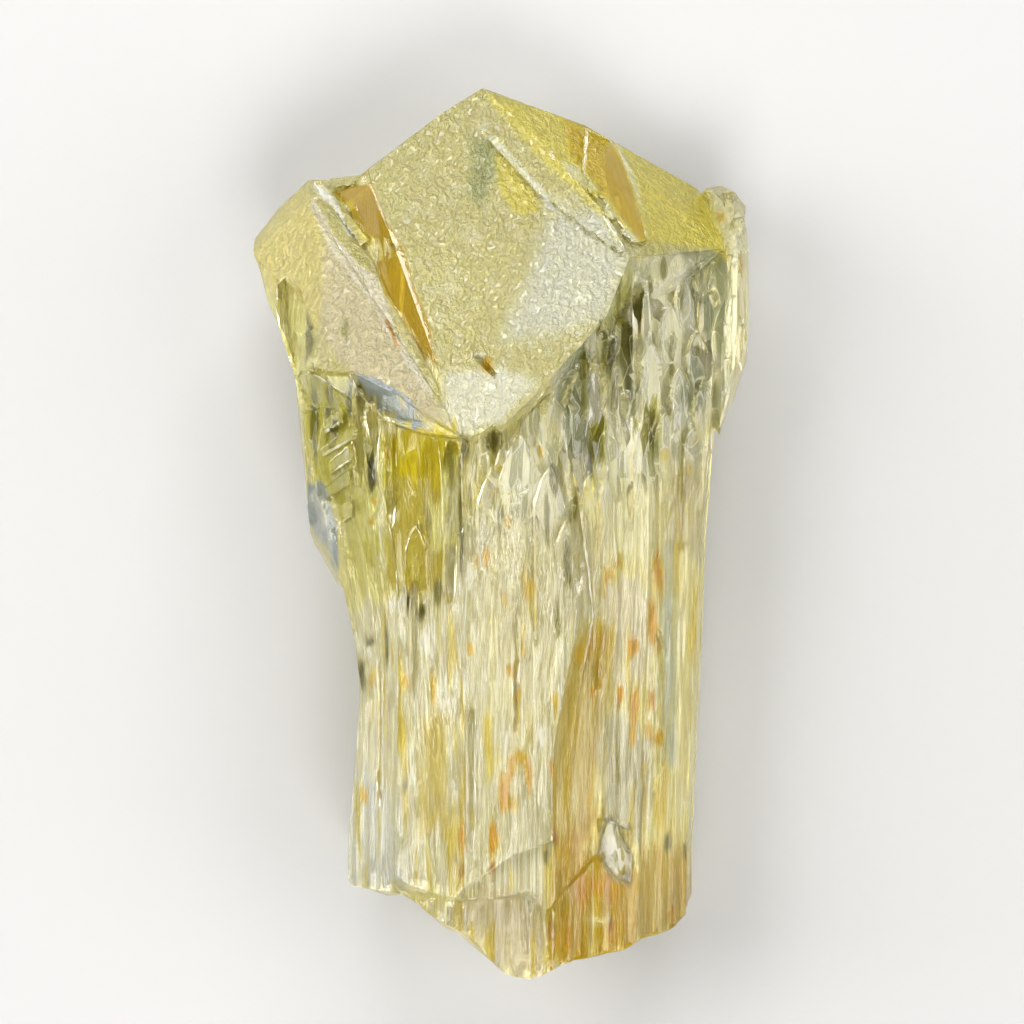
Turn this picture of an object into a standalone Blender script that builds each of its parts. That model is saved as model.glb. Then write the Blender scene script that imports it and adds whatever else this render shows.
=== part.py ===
"""A gem marialite crystal that lies on its flat back, its pyramid head toward +Y.

The crystal is one grown piece: a striated prism with a wide frosted head, a
small side head on the left, a rounded column on the right and a broken foot.
"""
import random

import bmesh
import bpy
from mathutils import Vector
from mathutils.geometry import delaunay_2d_cdt

MM = 0.001

# Driving dimensions, in millimetres
CRYSTAL_LENGTH = 55.8
HEAD_WIDTH = 31.3
HEAD_DEPTH = 20.6
TIP_Y = 27.9
FOOT_Y = TIP_Y - CRYSTAL_LENGTH
LEFT_X = -HEAD_WIDTH / 2
RIGHT_X = HEAD_WIDTH / 2
CHIP_SIZE = 1.9
CHIP_EDGE = 0.75
CHIP_RELIEF = 0.5
PYRAMID_SLOPE = 0.544
TIP_Z = 8.6

CRYSTAL_COLOUR = (0.80, 0.74, 0.38, 1.0)
CRYSTAL_ROUGHNESS = 0.22

# The prism's section at a few heights: each corner is (x, z), starting at the
# back left edge and going round by the left, the front and the right.
SECTIONS = [
    (-29.0, [(-8.0, 0), (-9.6, 3.0), (-9.9, 10.4), (-7.0, 14.4), (-2.3, 16.5),
             (3.3, 16.0), (3.5, 15.3), (8.6, 12.9), (11.6, 9.5), (12.1, 3.4), (10.3, 0)]),
    (-18.8, [(-7.8, 0), (-9.5, 3.0), (-9.75, 10.8), (-6.8, 15.1), (-2.4, 17.2),
             (3.3, 16.7), (3.5, 15.9), (8.7, 13.4), (11.8, 9.7), (12.2, 3.4), (10.5, 0)]),
    (-13.9, [(-7.8, 0), (-9.1, 3.0), (-9.3, 11.0), (-6.6, 15.5), (-2.4, 17.6),
             (3.3, 17.1), (3.5, 16.2), (8.8, 13.6), (12.0, 9.8), (12.45, 3.4), (10.6, 0)]),
    (-9.75, [(-7.8, 0), (-8.9, 3.0), (-9.0, 11.2), (-6.6, 15.9), (-2.4, 18.0),
             (3.9, 17.3), (4.1, 16.4), (9.0, 13.8), (12.2, 9.9), (12.7, 3.5), (10.7, 0)]),
    (-5.4, [(-7.8, 0), (-9.3, 3.0), (-9.5, 11.6), (-6.6, 16.3), (-2.4, 18.4),
            (5.0, 17.4), (5.2, 16.5), (9.2, 14.0), (12.4, 10.0), (12.9, 3.6), (10.8, 0)]),
    (-1.5, [(-8.2, 0), (-10.0, 3.2), (-10.6, 11.2), (-6.8, 16.6), (-2.4, 18.8),
            (4.6, 17.8), (4.8, 17.0), (9.3, 14.2), (12.6, 10.1), (13.0, 3.7), (10.9, 0)]),
    (3.3, [(-8.8, 0), (-11.6, 3.4), (-12.2, 11.0), (-7.6, 17.1), (-2.4, 19.3),
           (3.7, 18.3), (3.9, 17.6), (9.4, 14.3), (13.0, 10.2), (13.3, 3.8), (11.0, 0)]),
    (6.5, [(-9.2, 0), (-12.0, 3.6), (-12.5, 12.2), (-8.6, 17.4), (-2.4, 19.7),
           (2.4, 18.6), (2.6, 18.1), (9.4, 14.3), (13.3, 10.2), (13.5, 3.8), (11.2, 0)]),
    (12.0, [(-9.8, 0), (-12.8, 3.8), (-12.6, 9.5), (-8.6, 14.5), (-2.4, 16.4),
            (4.6, 16.0), (4.8, 15.9), (9.4, 14.0), (13.4, 10.2), (13.6, 3.8), (11.4, 0)]),
    (17.6, [(-9.8, 0), (-12.4, 3.8), (-12.0, 7.0), (-8.6, 9.8), (-2.4, 12.2),
            (6.4, 12.4), (6.6, 12.3), (9.4, 12.3), (13.4, 8.9), (13.6, 3.8), (11.4, 0)]),
]

# How many ribs each side of the section carries, from the back left edge on
RIBS = [4, 8, 8, 8, 11, 1, 10, 8, 6, 4]
# The back's flats and the grooves between them, as (share of the width, depth)
BACK_LINES = [(0.0, 0.0), (0.045, 0.0), (0.06, 0.3), (0.075, 0.0), (0.17, 0.0),
              (0.2, 0.45), (0.225, 0.0), (0.26, 0.0), (0.275, 0.25), (0.29, 0.0),
              (0.6, 0.0), (0.63, 0.55), (0.66, 0.0), (0.72, 0.0), (0.735, 0.3),
              (0.75, 0.0), (0.84, 0.0), (0.87, 0.4), (0.9, 0.0), (0.96, 0.15)]

# The prism's rows along its length, above the broken foot
ROWS = [-19.6, -17.4, -15.2, -13.0, -10.8, -8.6, -6.4, -4.2, -2.0, 0.2, 2.0,
        3.8, 5.4, 8.0, 10.6, 13.2, 15.6, 17.6]

# The foot's broken edge at the front and at the back, as (x, y)
FOOT_FRONT = [(-10.0, -21.6), (-9.5, -22.2), (-7.0, -22.4), (-5.8, -22.8),
              (-4.3, -24.0), (-2.7, -24.9), (-1.7, -25.4), (-0.8, -26.6),
              (0.3, -27.6), (1.8, FOOT_Y), (3.4, -27.2), (4.6, -26.7),
              (7.6, -26.1), (9.1, -25.3), (10.9, -25.0), (11.7, -24.2), (12.2, -23.2)]
FOOT_BACK = [(-10.0, -20.6), (-5.0, -21.6), (-1.5, -24.4), (2.0, -25.4),
             (6.0, -26.3), (9.0, -24.8), (12.2, -22.6)]
# The ledge where the front layer breaks off, and how far it steps back there
LEDGE_LINE = [(-10.0, -20.2), (-7.5, -20.8), (-6.0, -22.1), (-3.0, -22.8),
              (0.0, -22.6), (1.8, -22.3), (2.7, -23.8), (4.4, -21.8),
              (6.2, -19.9), (8.0, -20.6), (12.3, -21.0)]
LEDGE_TOP = -20.1
LEDGE_STEP = [(-10.0, 0.0), (-7.4, 0.1), (-6.2, 1.2), (-4.0, 1.7), (2.0, 1.7),
              (3.0, 0.9), (6.2, 0.7), (7.4, 0.1), (12.3, 0.0)]


def clear_scene():
    """Removes whatever the file opened with."""
    for thing in list(bpy.data.objects):
        bpy.data.objects.remove(thing)


def along(x, line):
    """The value at x of a line given as (x, value) points in order."""
    if x <= line[0][0]:
        return line[0][1]
    for (x0, v0), (x1, v1) in zip(line, line[1:]):
        if x <= x1:
            return v0 + (v1 - v0) * (x - x0) / (x1 - x0)
    return line[-1][1]


def face_height(x, y):
    """Height of the big pyramid face over the point (x, y)."""
    return TIP_Z + PYRAMID_SLOPE * (TIP_Y - y)


def section_at(y):
    """The prism's corners at height y, between the two nearest sections."""
    for (y0, low), (y1, high) in zip(SECTIONS, SECTIONS[1:]):
        if y <= y1:
            break
    t = min(1.0, max(0.0, (y - y0) / (y1 - y0)))
    return [Vector(a).lerp(Vector(b), t) for a, b in zip(low, high)]


def new_object(name, bm, guide=True):
    """A mesh object from a bmesh worked in millimetres."""
    bmesh.ops.recalc_face_normals(bm, faces=bm.faces)
    bmesh.ops.scale(bm, vec=(MM, MM, MM), verts=bm.verts)
    mesh = bpy.data.meshes.new(name)
    bm.to_mesh(mesh)
    bm.free()
    thing = bpy.data.objects.new(name, mesh)
    bpy.context.scene.collection.objects.link(thing)
    if guide:
        thing.hide_render = True
        thing.display_type = "WIRE"
    return thing


def block(name, points):
    """A convex block on the given corner points."""
    bm = bmesh.new()
    for point in points:
        bm.verts.new(point)
    bmesh.ops.convex_hull(bm, input=bm.verts)
    inside = [v for v in bm.verts if not v.link_faces]
    bmesh.ops.delete(bm, geom=inside, context="VERTS")
    return new_object(name, bm)


def rib_fractions(rng, count):
    """Uneven cuts from 0 up to 1 that share a side out among its ribs."""
    widths = [rng.uniform(0.55, 1.45) for _ in range(count)]
    total = sum(widths)
    cuts = [0.0]
    for width in widths[:-1]:
        cuts.append(cuts[-1] + width / total)
    return cuts


def rib_columns(rng):
    """Every column of the prism as (side, fraction, groove depth, is_back)."""
    columns = []
    for side, count in enumerate(RIBS):
        cuts = rib_fractions(rng, count)
        for number, cut in enumerate(cuts):
            deep = rng.uniform(0.16, 0.5) if number % 2 else rng.uniform(0.0, 0.08)
            columns.append((side, cut, deep, False))
    for cut, deep in BACK_LINES:
        columns.append((10, cut, deep, True))
    return columns


def groove_gain(x, y):
    """How much deeper the etching bites near the head than on the stem."""
    if y > 5.6:
        return 1.9 if x > 5.0 else 1.0
    return along(y, [(-29.0, 0.7), (-12.0, 0.8), (-4.0, 1.1), (1.0, 1.7), (5.6, 2.1)])


def prism_point(column, y, deep, drop=0.0):
    """A point on the prism's skin, set in along the side's normal and lowered."""
    side, cut = column[0], column[1]
    corners = section_at(y)
    a = corners[side]
    b = corners[(side + 1) % len(corners)]
    spot = a.lerp(b, cut)
    edge = (b - a).normalized()
    inward = Vector((edge.y, -edge.x))
    return spot + inward * deep - Vector((0.0, drop))


def row_heights(x, z):
    """The heights of all rows for a column that starts at (x, z)."""
    foot = foot_height(x, z)
    ledge = along(x, LEDGE_LINE)
    if z < 10.0:
        ledge = max(foot + 1.3, ledge)
    ledge = min(ledge, LEDGE_TOP)
    return [foot, max(foot + 0.12, ledge - 0.3), ledge + 0.1]


def prism_rings(rng):
    """All rings of points round the prism, from the foot to the head."""
    columns = rib_columns(rng)
    rings = []
    fades = [rng.uniform(0.35, 1.0) for _ in range(len(columns))]
    waves = [rng.uniform(-1.0, 1.0) for _ in range(len(columns) * 8)]
    for row in range(3 + len(ROWS)):
        ring = []
        for number, column in enumerate(columns):
            start = prism_point(column, -24.0, 0.0)
            low = row_heights(start.x, start.y)
            is_back = column[3]
            if row < 3:
                y = low[row]
            else:
                wave = 0.0 if row in (3, 2 + len(ROWS)) or is_back else 0.38
                step = ROWS[row - 3] - ROWS[max(row - 4, 0)]
                y = ROWS[row - 3] + wave * step * waves[number * 7 + row * 3]
            deep = column[2]
            if not is_back:
                deep *= groove_gain(start.x, y) * fades[(number * 5 + row) % len(fades)]
            drop = along(start.x, LEDGE_STEP) if row < 2 and start.y > 11.5 else 0.0
            spot = prism_point(column, y, deep, drop)
            ring.append((spot.x, y, spot.y))
        rings.append(ring)
    return rings


def is_inside(x, z, outline):
    """Whether (x, z) lies well inside a closed outline."""
    odd = False
    for number, here in enumerate(outline):
        before = outline[number - 1]
        if (here.x - x) ** 2 + (here.y - z) ** 2 < CHIP_EDGE ** 2:
            return False
        if (here.y > z) != (before.y > z):
            cross = before.x + (z - before.y) * (here.x - before.x) / (here.y - before.y)
            odd = odd != (x < cross)
    return odd


def foot_height(x, z):
    """How far down the broken foot reaches at (x, z)."""
    front = min(1.0, max(0.0, (z - 1.0) / 11.0))
    return along(x, FOOT_BACK) * (1 - front) + along(x, FOOT_FRONT) * front


def chipped_end(bm, ring, rng, height, roughness):
    """Closes an end of the prism with uneven flat chips."""
    outline = [Vector((v.co.x, v.co.z)) for v in ring]
    spots = []
    for across in range(-7, 8):
        for up in range(0, 12):
            x = (across + rng.uniform(-0.42, 0.42) + 0.5 * (up % 2)) * CHIP_SIZE
            z = (up + rng.uniform(-0.42, 0.42)) * CHIP_SIZE
            if is_inside(x, z, outline):
                spots.append(Vector((x, z)))
    edges = [(n, (n + 1) % len(ring)) for n in range(len(ring))]
    corners, _, faces, origins, _, _ = delaunay_2d_cdt(outline + spots, edges, [], 1, 1e-6)
    verts = []
    for corner, origin in zip(corners, origins):
        if origin[0] < len(ring):
            verts.append(ring[origin[0]])
        else:
            y = height(corner.x, corner.y) + rng.uniform(-roughness, roughness)
            verts.append(bm.verts.new((corner.x, y, corner.y)))
    for face in faces:
        bm.faces.new([verts[n] for n in face])


def striated_prism(rng):
    """The stem: a many-ribbed bar from the broken foot up into the head."""
    bm = bmesh.new()
    rings = [[bm.verts.new(p) for p in ring] for ring in prism_rings(rng)]
    for low, high in zip(rings, rings[1:]):
        count = len(low)
        for a in range(count):
            b = (a + 1) % count
            bm.faces.new((low[a], low[b], high[b]))
            bm.faces.new((low[a], high[b], high[a]))
    chipped_end(bm, rings[0], rng, foot_height, CHIP_RELIEF)
    chipped_end(bm, rings[-1], rng, lambda x, z: ROWS[-1] + 0.2, 0.1)
    return new_object("marialite_crystal", bm, guide=False)


def on_face(x, y, lift=0.0):
    """A point on the big pyramid face."""
    return (x, y, face_height(x, y) + lift)


LIP = [(-7.3, 7.1), (-4.6, 6.2), (-2.3, 5.75), (-1.5, 6.1), (0.5, 6.9), (3.2, 9.8),
       (6.4, 13.2), (8.0, 17.2)]


def pyramid_head():
    """The big frosted kite face, the right face and the faces behind them."""
    top = [on_face(-1.2, TIP_Y), on_face(-3.9, 26.2), on_face(-8.3, 22.7),
           on_face(-8.1, 21.8), on_face(-6.3, 17.9), on_face(-5.2, 15.2),
           on_face(-3.9, 10.4), on_face(3.2, 23.9)]
    lip = [on_face(x, y) for x, y in LIP[2:]]
    under = [(x, y - 0.3, z - 0.75) for x, y, z in lip]
    right = [(9.3, 18.1, 13.0), (5.2, 25.6, 7.9), (7.0, 24.6, 7.2),
             (12.4, 21.6, 5.4), (14.0, 17.8, 9.6), (13.6, 17.2, 4.0)]
    rear = [(-10.9, 20.9, 8.8), (-7.7, 15.0, 13.1), (-5.9, 8.6, 16.6), (-9.0, 19.0, 0.7),
            (-3.0, 22.0, 0.7), (7.0, 21.0, 0.7), (11.6, 17.2, 0.7),
            (-8.0, 12.0, 0.7), (10.0, 12.0, 0.7), (-3.0, 9.0, 8.0), (6.0, 10.5, 8.0)]
    return block("pyramid head", top + lip + under + right + rear)


def left_head():
    """The lower side head left of the cleft, with its frosted outer facet."""
    slope = [(-2.4, 5.85, 20.3), (-9.0, 22.2, 8.3), (-12.0, 20.9, 10.2),
             (-11.1, 17.0, 12.7), (-10.6, 12.6, 15.5), (-9.3, 9.8, 17.2), (-5.0, 6.1, 19.1)]
    edge = [(-12.1, 22.15, 7.6), (-14.0, 20.4, 6.8), (-15.5, 18.5, 6.6),
            (LEFT_X, 17.5, 8.3), (-14.8, 14.5, 9.8), (-13.4, 11.6, 11.7), (-12.4, 9.9, 14.6)]
    rear = [(-15.2, 17.4, 4.6), (-13.2, 20.0, 3.8), (-9.0, 21.0, 3.4), (-12.9, 10.4, 6.0),
            (-11.9, 7.8, 8.0), (-12.1, 8.0, 13.0), (-8.0, 7.4, 16.9), (-8.0, 6.0, 8.0)]
    return block("left head", slope + edge + rear)


def left_lip():
    """The thin overhanging lip under the left head."""
    return block("left lip", [
        (-12.2, 10.1, 15.4), (-9.3, 10.1, 17.3), (-7.4, 7.1, 18.9), (-4.6, 6.15, 20.0),
        (-2.3, 5.8, 20.5), (-12.0, 9.7, 14.4), (-7.6, 6.8, 17.8), (-4.6, 5.85, 19.0),
        (-2.4, 5.5, 19.6), (-9.0, 9.0, 14.0), (-3.0, 8.0, 17.0)])


def left_flank():
    """The clear flank facet that runs down from the left head."""
    return block("left flank", [
        (-13.2, 11.2, 5.0), (-13.2, 11.0, 10.6), (-12.6, 7.4, 12.6),
        (-12.35, 3.2, 11.6), (-12.2, 0.6, 9.8), (-12.0, 0.4, 6.0), (-12.6, 7.0, 4.4),
        (-10.6, 14.0, 6.0), (-10.6, 1.5, 6.0), (-10.4, 1.4, 11.4), (-10.6, 8.0, 14.0)])


def left_chip():
    """The fractured knob on the left side, below the head."""
    return block("left chip", [
        (-12.35, 3.0, 9.6), (-12.2, 0.0, 8.6), (-11.9, -0.7, 6.4), (-10.4, -3.2, 7.2),
        (-10.2, -3.1, 10.4), (-10.9, -0.4, 12.4), (-11.5, 2.2, 12.4), (-9.3, -1.6, 12.6),
        (-9.0, 1.5, 13.4), (-9.0, -4.2, 9.6), (-9.0, 2.0, 6.0)])


def right_column():
    """The rounded, lumpy column that stands along the head's right edge."""
    front = [(12.5, 21.3, 6.4), (13.4, 21.3, 7.6), (14.5, 20.6, 9.0), (13.5, 19.4, 8.6),
             (14.0, 17.4, 10.3), (14.8, 17.3, 10.9), (13.7, 12.4, 10.9), (14.8, 12.6, 11.3),
             (14.4, 9.2, 11.0), (13.6, 8.4, 10.7), (13.7, 6.6, 10.5)]
    outer = [(13.8, 21.85, 5.6), (12.9, 21.7, 5.0), (14.7, 21.4, 6.0), (15.35, 20.5, 6.8),
             (RIGHT_X, 17.4, 8.6), (RIGHT_X, 13.4, 9.2), (15.5, 10.7, 8.8),
             (14.8, 8.5, 8.4), (14.2, 7.1, 8.2), (13.7, 6.1, 7.4)]
    under = [(RIGHT_X, 16.6, 5.4), (RIGHT_X, 13.6, 5.2), (15.4, 10.4, 5.0), (14.9, 19.8, 5.0),
             (14.2, 17.6, 2.8), (14.0, 12.0, 2.6), (13.8, 8.6, 4.0), (13.2, 20.4, 3.6)]
    inner = [(11.6, 20.6, 5.4), (12.0, 17.0, 7.0), (12.4, 8.0, 7.0)]
    return block("right column", front + outer + under + inner)


def right_lumps():
    """Small rounded lumps on the right column, each a little block."""
    spots = [(13.1, 21.2, 7.0, 0.55, 0.5), (14.2, 21.0, 8.0, 0.65, 0.65),
             (14.8, 19.2, 9.5, 0.6, 1.0), (14.6, 15.9, 10.9, 0.6, 1.7),
             (15.0, 12.0, 10.6, 0.5, 1.9), (14.1, 9.9, 11.0, 0.5, 1.3)]
    lumps = []
    for number, (x, y, z, half, run) in enumerate(spots):
        points = []
        for dx, dy, dz in ((-1, 0, -.3), (1, 0, -.5), (0, 1, -.3), (0, -1, -.3),
                           (.5, .6, .45), (-.6, .5, .5), (-.5, -.7, .5), (.5, -.6, .35)):
            points.append((x + dx * half, y + dy * run, z + dz * half))
        points.append((x - 0.3, y - 0.2, z - 2.0))
        lumps.append(block(f"right lump {number}", points))
    return lumps


def front_height(x, y):
    """Height of the prism's plain front skin over (x, y)."""
    corners = section_at(y)
    line = sorted((c.x, c.y) for c in corners[2:9])
    return along(x, line)


def arch_plate(name, x, top, length, half, lift):
    """A raised etch plate: a pointed arch that sinks into the skin lower down."""
    outline = [(0.0, 0.0), (0.55, -0.8), (1.0, -2.2)]
    outline = [(w * half, min(s * half, 0.0)) for w, s in outline]
    points = []
    for dx, dy in outline:
        for side in (-1, 1):
            px, py = x + side * dx, top + dy
            z = front_height(px, py)
            points.append((px, py, z + lift * (0.8 - 0.25 * side)))
            points.append((px, py, z - 1.2))
    for side in (-1, 1):
        px, py = x + side * half * 0.9, top - length
        z = front_height(px, py)
        points.append((px, py, z - 0.5))
        points.append((px, py, z - 1.4))
    return block(name, points)


def etch_plates():
    """The overlapping pointed plates of the etched right face."""
    spots = [
        (9.9, 17.2, 4.6, 0.75, 0.55), (11.6, 16.6, 5.2, 0.8, 0.5), (13.0, 15.2, 5.8, 0.55, 0.5),
        (8.9, 15.6, 4.2, 0.6, 0.6), (10.6, 14.2, 5.0, 0.8, 0.6), (12.3, 12.6, 4.8, 0.7, 0.55),
        (9.4, 11.9, 6.0, 0.75, 0.7), (11.2, 10.4, 4.6, 0.65, 0.6), (12.7, 9.4, 4.4, 0.6, 0.55),
        (7.6, 11.0, 5.4, 0.5, 0.55), (10.3, 7.6, 5.8, 0.7, 0.6), (12.0, 6.6, 4.8, 0.65, 0.5),
        (8.6, 6.2, 6.6, 0.6, 0.6), (5.8, 10.2, 4.0, 0.45, 0.5), (6.6, 3.6, 7.0, 0.6, 0.5),
        (4.2, 8.2, 3.6, 0.5, 0.5),
    ]
    return [arch_plate(f"etch plate {n}", *spot) for n, spot in enumerate(spots)]


def front_plates():
    """The stepped plates that rise to a point under the head's lip."""
    return [
        arch_plate("front plate 0", 1.2, 6.4, 11.0, 1.5, 0.7),
        arch_plate("front plate 1", 3.0, 4.2, 13.0, 1.1, 0.65),
        arch_plate("front plate 2", -0.6, 3.9, 9.0, 1.0, 0.5),
        arch_plate("front plate 3", 4.1, 1.0, 6.0, 0.75, 0.5),
        arch_plate("front plate 4", -5.3, 0.6, 8.0, 0.8, 0.35),
    ]


def slanting_steps():
    """The short slanting steps on the left, under the lip."""
    spots = [(-11.4, 8.1, 1.9, 0.30, 0.55), (-11.3, 6.9, 1.3, 0.36, 0.75),
             (-11.5, 5.2, 2.3, 0.28, 0.5), (-10.9, 4.5, 1.5, 0.4, 0.8),
             (-11.3, 2.7, 1.8, 0.3, 0.6), (-10.6, 1.3, 1.2, 0.32, 0.9)]
    steps = []
    for number, (x, y, run, lift, width) in enumerate(spots):
        points = []
        for dx, dy, up in ((0.0, 0.0, 0.2), (run, run * 0.75, 1.0),
                           (run * 1.1, run * 0.55 - width, 0.6), (0.25, -width, 0.0)):
            top = front_height(x + dx, y + dy) + lift * up
            points.append((x + dx, y + dy, top))
            points.append((x + dx, y + dy, top - 1.8))
        steps.append(block(f"slanting step {number}", points))
    return steps


def slot(name, x, low, high, width, depth, lean=0.0):
    """A cutter for a deep narrow groove with pointed ends along the prism."""
    points = []
    for y, half, share in ((low, 0.1, 0.35), (low + 1.2, 0.5, 1.0), (high - 0.5, 0.5, 1.0),
                           (high, 0.2, 0.7)):
        px = x + lean * (y - low)
        z = front_height(px, y)
        for side in (-1, 1):
            points.append((px + side * half * width * 1.15, y, z + 2.2))
            points.append((px + side * half * width * 0.8, y, z - depth * share))
    return block(name, points)


def deep_slots():
    """Cutters for the deep grooves that look dark from the front."""
    spots = [
        (7.75, 7.2, 13.3, 0.85, 1.6, -0.02), (8.55, 9.0, 15.6, 0.45, 1.1, 0.0),
        (6.3, 9.4, 12.6, 0.55, 1.2, 0.0), (5.2, 9.6, 11.4, 0.5, 1.0, 0.0),
        (-0.45, 4.2, 6.6, 0.75, 1.5, 0.0), (-3.25, -4.4, 5.6, 0.5, 1.2, 0.02),
        (-6.9, 0.6, 6.9, 0.45, 1.0, 0.0), (-8.0, 3.2, 8.0, 0.5, 1.0, 0.0),
        (-8.9, 2.8, 8.8, 0.35, 0.8, 0.0), (4.75, -3.8, 2.2, 0.5, 1.0, 0.0),
        (9.6, -2.0, 3.8, 0.4, 0.8, 0.0), (6.0, -9.8, -2.0, 0.3, 0.5, 0.0),
        (-5.4, -10.4, -3.0, 0.3, 0.5, 0.0), (0.9, -12.4, -4.0, 0.25, 0.45, 0.0),
        (-1.9, -19.8, -11.0, 0.3, 0.5, 0.0), (7.2, -18.2, -10.0, 0.3, 0.5, 0.0),
        (9.9, -15.2, -6.0, 0.35, 0.6, 0.0), (-7.6, -17.0, -8.0, 0.3, 0.5, 0.0),
    ]
    return [slot(f"slot {n}", *spot) for n, spot in enumerate(spots)]


def foot_breaks():
    """Cutters that break layers off the foot and nick its lower edges."""
    plate_corner = [(x, y, z) for z in (16.1, 19.5) for x, y in
                    ((-2.6, -22.4), (0.6, -20.1), (2.7, -19.7), (3.2, -19.2),
                     (4.2, -18.9), (4.2, -24.5), (-2.6, -24.5))]
    left_nick = [(-11.0, -23.5, 8.0), (-8.0, -23.5, 17.0), (-8.6, -21.4, 16.6),
                 (-10.6, -20.6, 12.6), (-10.8, -22.0, 17.0), (-11.4, -21.5, 9.0)]
    tongue_chip = [(3.6, -29.0, 12.6), (6.8, -28.5, 11.8), (5.6, -26.6, 18.0),
                   (2.9, -27.3, 18.0), (3.2, -29.5, 18.0), (7.0, -28.5, 17.0)]
    white_break = [(6.1, -17.9, 13.9), (7.9, -18.6, 13.0), (7.9, -21.6, 13.0),
                   (6.7, -20.4, 13.8), (6.0, -17.5, 17.0), (8.4, -17.9, 17.0),
                   (8.5, -22.0, 17.0), (6.3, -21.0, 17.0)]
    return [block("plate corner", plate_corner), block("left nick", left_nick),
            block("tongue chip", tongue_chip), block("white break", white_break)]


def head_cuts():
    """Cutters on the head: the pit, the smooth bevel and the lens hollow."""
    pit = [on_face(-2.1, 11.2, 0.6), on_face(-1.5, 11.6, 0.6), on_face(0.1, 9.9, 0.6),
           on_face(-0.1, 9.3, 0.6), on_face(-0.8, 9.9, -0.9), on_face(-1.5, 10.9, -0.6)]
    bevel = [(-9.6, 10.3, 17.4), (-5.9, 8.6, 18.6), (-4.6, 6.9, 19.6), (-6.9, 6.8, 17.9),
             (-8.6, 8.4, 16.6), (-7.8, 10.2, 21.0), (-5.0, 7.5, 22.0), (-9.0, 9.0, 21.0)]
    lens = [(-13.7, 16.0, 9.8), (-12.3, 14.6, 12.2), (-11.9, 10.4, 14.2), (-12.9, 9.6, 12.0),
            (-13.6, 12.6, 11.2), (-15.0, 14.0, 14.0), (-13.6, 10.0, 17.0), (-13.4, 15.6, 14.5)]
    corner = [(-15.0, 21.5, 12.0), (-12.6, 21.3, 9.9), (-12.9, 20.9, 8.9), (-12.3, 22.4, 8.8),
              (-14.0, 23.0, 6.0), (-12.9, 22.0, 6.5)]
    return [block("pit", pit), block("bevel", bevel), block("lens hollow", lens),
            block("corner nick", corner)]


def head_steps():
    """Low growth steps on the head: the thin layer and the cleft's ribbons."""
    layer = [on_face(-1.4, 25.2, 0.3), on_face(2.3, 21.2, 0.42), on_face(7.3, 17.5, 0.42),
             on_face(7.9, 17.6, 0.3), on_face(6.4, 20.0, 0.3), on_face(3.1, 23.8, 0.3)]
    layer += [on_face(2.0, 23.0, -1.0), on_face(6.0, 18.9, -1.0)]
    ribbon = [(-12.1, 20.8, 10.6), (-11.5, 21.1, 10.0), (-8.1, 17.0, 12.9), (-8.8, 16.6, 13.1),
              (-6.1, 13.6, 15.3), (-6.7, 13.2, 15.5), (-3.6, 8.7, 18.6), (-4.0, 8.5, 18.7),
              (-9.0, 16.8, 11.2), (-6.6, 13.2, 13.6)]
    strip = [(-11.9, 22.0, 9.0), (-11.3, 22.1, 8.8), (-8.2, 18.3, 12.3), (-8.8, 17.9, 12.3),
             (-10.4, 20.0, 9.2)]
    crest = [(-10.8, 22.2, 9.0), (-8.2, 22.5, 10.6), (-8.3, 21.9, 11.2), (-10.6, 21.6, 9.9),
             (-9.6, 21.8, 7.6)]
    gold = [(5.2, 25.4, 8.3), (7.0, 24.5, 7.6), (9.2, 18.3, 13.5), (8.2, 18.1, 14.2),
            (5.0, 22.6, 11.2), (7.0, 21.0, 9.0)]
    return [block("growth layer", layer), block("cleft ribbon", ribbon),
            block("cleft strip", strip), block("cleft crest", crest), block("gold wedge", gold)]


def ridge_facets():
    """Small bright facets stepped along the ridge between the two front faces."""
    facets = []
    for number, (x, y, run) in enumerate(((5.7, 21.6, 0.9), (6.7, 20.1, 0.8), (7.7, 18.9, 0.7))):
        points = []
        for dx, dy, up in ((-0.1, 0.9, -0.1), (0.55, 0.2, -0.35), (0.35, -0.8, 0.3),
                           (-0.45, -0.3, 0.35)):
            z = face_height(x + dx * run, y + dy * run)
            points.append((x + dx * run, y + dy * run, z + up * run))
        points += [(x, y + 0.3, z - 2.4), (x + 0.3, y - 0.4, z - 1.8)]
        facets.append(block(f"ridge facet {number}", points))
    return facets


def gather(name, pieces):
    """Moves pieces into a collection of their own, for one Boolean."""
    group = bpy.data.collections.new(name)
    bpy.context.scene.collection.children.link(group)
    for piece in pieces:
        bpy.context.scene.collection.objects.unlink(piece)
        group.objects.link(piece)
    return group


def combine(body, name, pieces, operation):
    """Joins a group of blocks to the crystal, or cuts them out of it."""
    step = body.modifiers.new(name, "BOOLEAN")
    step.operation = operation
    step.operand_type = "COLLECTION"
    step.collection = gather(name, pieces)
    step.solver = "EXACT"
    step.use_self = operation == "UNION"


def crystal_material():
    """Pale yellow, half clear crystal."""
    material = bpy.data.materials.new("pale yellow crystal")
    material.use_nodes = True
    shader = material.node_tree.nodes["Principled BSDF"]
    shader.inputs["Base Color"].default_value = CRYSTAL_COLOUR
    shader.inputs["Roughness"].default_value = CRYSTAL_ROUGHNESS
    shader.inputs["Metallic"].default_value = 0.0
    return material


def build():
    clear_scene()
    rng = random.Random(7)
    crystal = striated_prism(rng)
    crystal.data.materials.append(crystal_material())
    heads = [pyramid_head(), left_head(), left_lip(), left_flank(), left_chip(), right_column()]
    combine(crystal, "heads", heads, "UNION")
    combine(crystal, "steps", head_steps() + ridge_facets() + right_lumps() + etch_plates()
            + front_plates() + slanting_steps(), "UNION")
    combine(crystal, "breaks", deep_slots() + foot_breaks() + head_cuts(), "DIFFERENCE")


build()
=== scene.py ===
from itertools import product

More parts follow.
